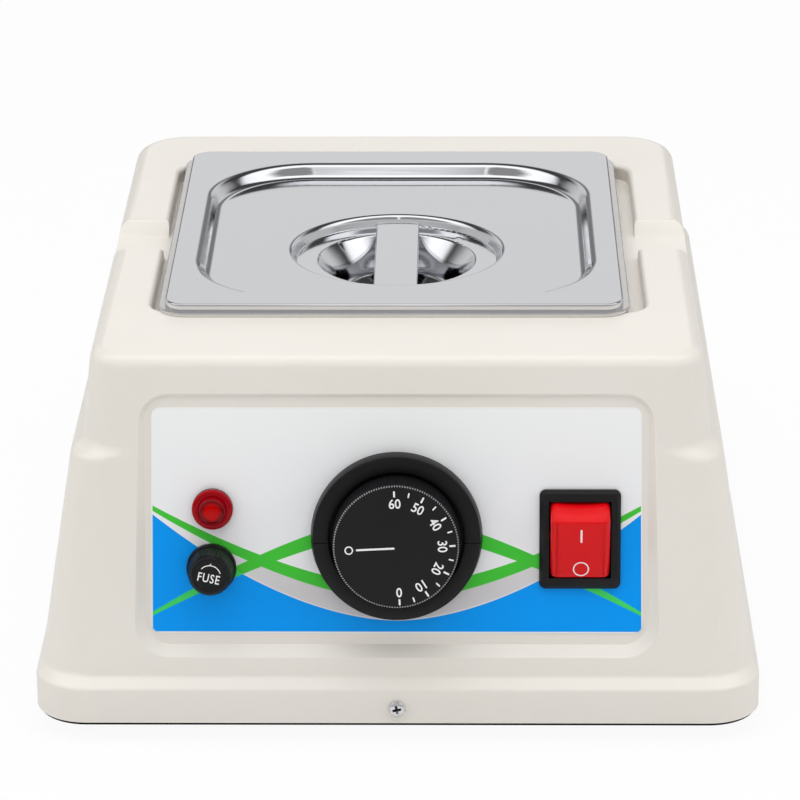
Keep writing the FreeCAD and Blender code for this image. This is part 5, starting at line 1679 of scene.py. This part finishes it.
@dataclass(frozen=True)
class Studio:
    """Floor, light and camera.

    Each Ramp says what a mirrored level becomes over a range of directions: where the range
    starts and ends, and the level at either end.
    """

    focal: float = 181.47
    camera_spot: tuple[float, float, float] = (0.0205, -1.37898, 0.6047)
    down: float = 21.3
    yaw: float = -0.88
    roll: float = -0.29
    aim: tuple[float, float, float] = (0.0, 0.0, 0.08)
    floor_size: float = 14.0
    floor_glow: float = 0.94
    fill: float = 0.26
    fill_above: float = 0.4
    back: Ramp = (0.0, 0.25, 0.4, 0.8)
    back_notch: Ramp = (0.12, 0.22, 1.0, 0.3)
    back_sides: Ramp = (0.26, 0.36, 0.0, 0.9)
    front: Ramp = (0.2, 0.85, 0.42, 0.9)
    front_low: Ramp = (0.15, 0.3, 0.4, 1.1)
    window: Ramp = (0.004, 0.036, 1.25, 0.36)
    window_rise: Ramp = (0.55, 0.7, 0.0, 1.0)
    window_spread: Ramp = (0.9, 0.98, 1.0, 0.2)
    window_shift: float = 0.02
    over: Ramp = (0.35, 0.8, 0.588, 1.4)
    dark: Ramp = (0.35, 0.6, 0.6, 0.06)
    zone_ends: tuple = ((-0.3, -0.12), (0.15, 0.35), (0.6, 0.8))

    def camera(self) -> None:
        """Place the camera at the photograph's angle."""
        data = bpy.data.cameras.new("view")
        data.lens, data.sensor_width, data.clip_end = self.focal, 36.0, 50.0
        camera = bpy.data.objects.new("view", data)
        bpy.context.scene.collection.objects.link(camera)
        yaw, down, roll = (math.radians(angle) for angle in (self.yaw, self.down, self.roll))
        ahead = Vector((math.sin(yaw) * math.cos(down), math.cos(yaw) * math.cos(down),
                        -math.sin(down)))
        right = Vector((math.cos(yaw), -math.sin(yaw), 0.0))
        above = right.cross(ahead)
        right, above = (math.cos(roll) * right + math.sin(roll) * above,
                        math.cos(roll) * above - math.sin(roll) * right)
        axes = Matrix((right, above, -ahead)).transposed().to_4x4()
        camera.matrix_world = Matrix.Translation(self.camera_spot) @ axes
        bpy.context.scene.camera = camera

    def floor(self) -> None:
        """Lay a pale floor that shows the object's soft shadow."""
        plane = primitive(bpy.ops.mesh.primitive_plane_add, size=self.floor_size)
        plane.name = "studio_floor"
        sheet = Sheet("studio_floor")
        sheet.fill(sheet.shader, Base_Color=(0.86, 0.86, 0.86), Roughness=0.9,
                   Specular_IOR_Level=0.1)
        seen = sheet.add("LightPath").outputs["Is Camera Ray"]
        glow = sheet.add("Emission", Color=(1.0, 1.0, 1.0), Strength=1.0)
        both = sheet.mixed(sheet.times(seen, self.floor_glow), sheet.shader, glow)
        sheet.fill(sheet.tree.nodes["Material Output"], Surface=both.outputs[0])
        plane.data.materials.append(sheet.material)

    def _mirrored(self, board: Board, way: Sockets) -> Socket:
        """Say how bright the room is that polished pieces mirror.

        Args:
            board: The world's board.
            way: The direction's X, Y and Z.

        Returns:
            The level, from the front over the top to the back.
        """
        rise = way["Z"]
        aside = board.math("ABSOLUTE", way["X"])
        back = board.times(board.remap(rise, *self.back),
                           board.math("MAXIMUM", board.remap(aside, *self.back_notch),
                                      board.remap(aside, *self.back_sides)))
        beside = board.times(board.math("ABSOLUTE", board.plus(way["X"], self.window_shift)),
                             board.remap(rise, *self.window_spread))
        level = board.times(board.remap(rise, *self.front),
                            board.between(board.remap(rise, *self.window_rise),
                                          board.remap(rise, *self.front_low),
                                          board.remap(beside, *self.window)))
        zones = (board.remap(rise, *self.over), board.remap(rise, *self.dark), back)
        for (start, end), zone in zip(self.zone_ends, zones):
            level = board.between(board.remap(way["Y"], start, end), level, zone)
        return level

    def world(self) -> None:
        """Surround the object with soft light, white where the camera sees it."""
        world = bpy.data.worlds.new("studio")
        world.use_nodes = True
        bpy.context.scene.world = world
        board = Board(world.node_tree)
        world.node_tree.nodes.clear()
        generated = board.add("TexCoord").outputs["Generated"]
        way = board.add("SeparateXYZ", Vector=generated).outputs
        soft, mirrored, white = (
            board.add("Background", Color=(1.0, 1.0, 1.0), Strength=level)
            for level in (board.plus(board.times(way["Z"], self.fill_above), self.fill),
                          self._mirrored(board, way), 1.0))
        path = board.add("LightPath").outputs
        shown = board.math("MAXIMUM", path["Is Camera Ray"], path["Is Transmission Ray"])
        lit = board.mixed(path["Is Glossy Ray"], soft, mirrored)
        both = board.mixed(shown, lit, white)
        board.add("OutputWorld", Surface=both.outputs[0])

    def lamp(self, name: str, spot: tuple[float, float, float], size: tuple[float, float],
             power: float) -> None:
        """Hang one soft box that faces the object.

        Args:
            name: The lamp's name.
            spot: Where it hangs, in metres.
            size: Its width and height in metres.
            power: Its power in watts.
        """
        data = bpy.data.lights.new(name, "AREA")
        data.shape, data.size, data.size_y, data.energy = "RECTANGLE", size[0], size[1], power
        lamp = bpy.data.objects.new(name, data)
        bpy.context.scene.collection.objects.link(lamp)
        lamp.location, lamp.visible_glossy = spot, False
        ahead = Vector(self.aim) - Vector(spot)
        lamp.rotation_euler = ahead.to_track_quat("-Z", "Y").to_euler()

    def build(self) -> None:
        """Set up the whole studio."""
        self.camera()
        self.floor()
        self.world()
        for lamp in LAMPS:
            self.lamp(*lamp)
        bpy.context.scene.view_settings.view_transform = "Standard"


def main() -> None:
    """Build the studio and every sub-assembly, and log the pieces of each."""
    logging.basicConfig(level=logging.INFO, format="%(name)s: %(message)s")
    Studio().build()
    shop = PaintShop()
    for kind in (Housing, SkirtScrews, Base, CableEntry, HeatedWell, FoodPan, Lid, ControlFilm,
                 Dial, PilotLamp, FuseHolder, MainsSwitch):
        part = kind(shop)
        part.build()
        LOG.info("%s: %s", kind.__name__, ", ".join(part.pieces))


if __name__ == "__main__":
    main()
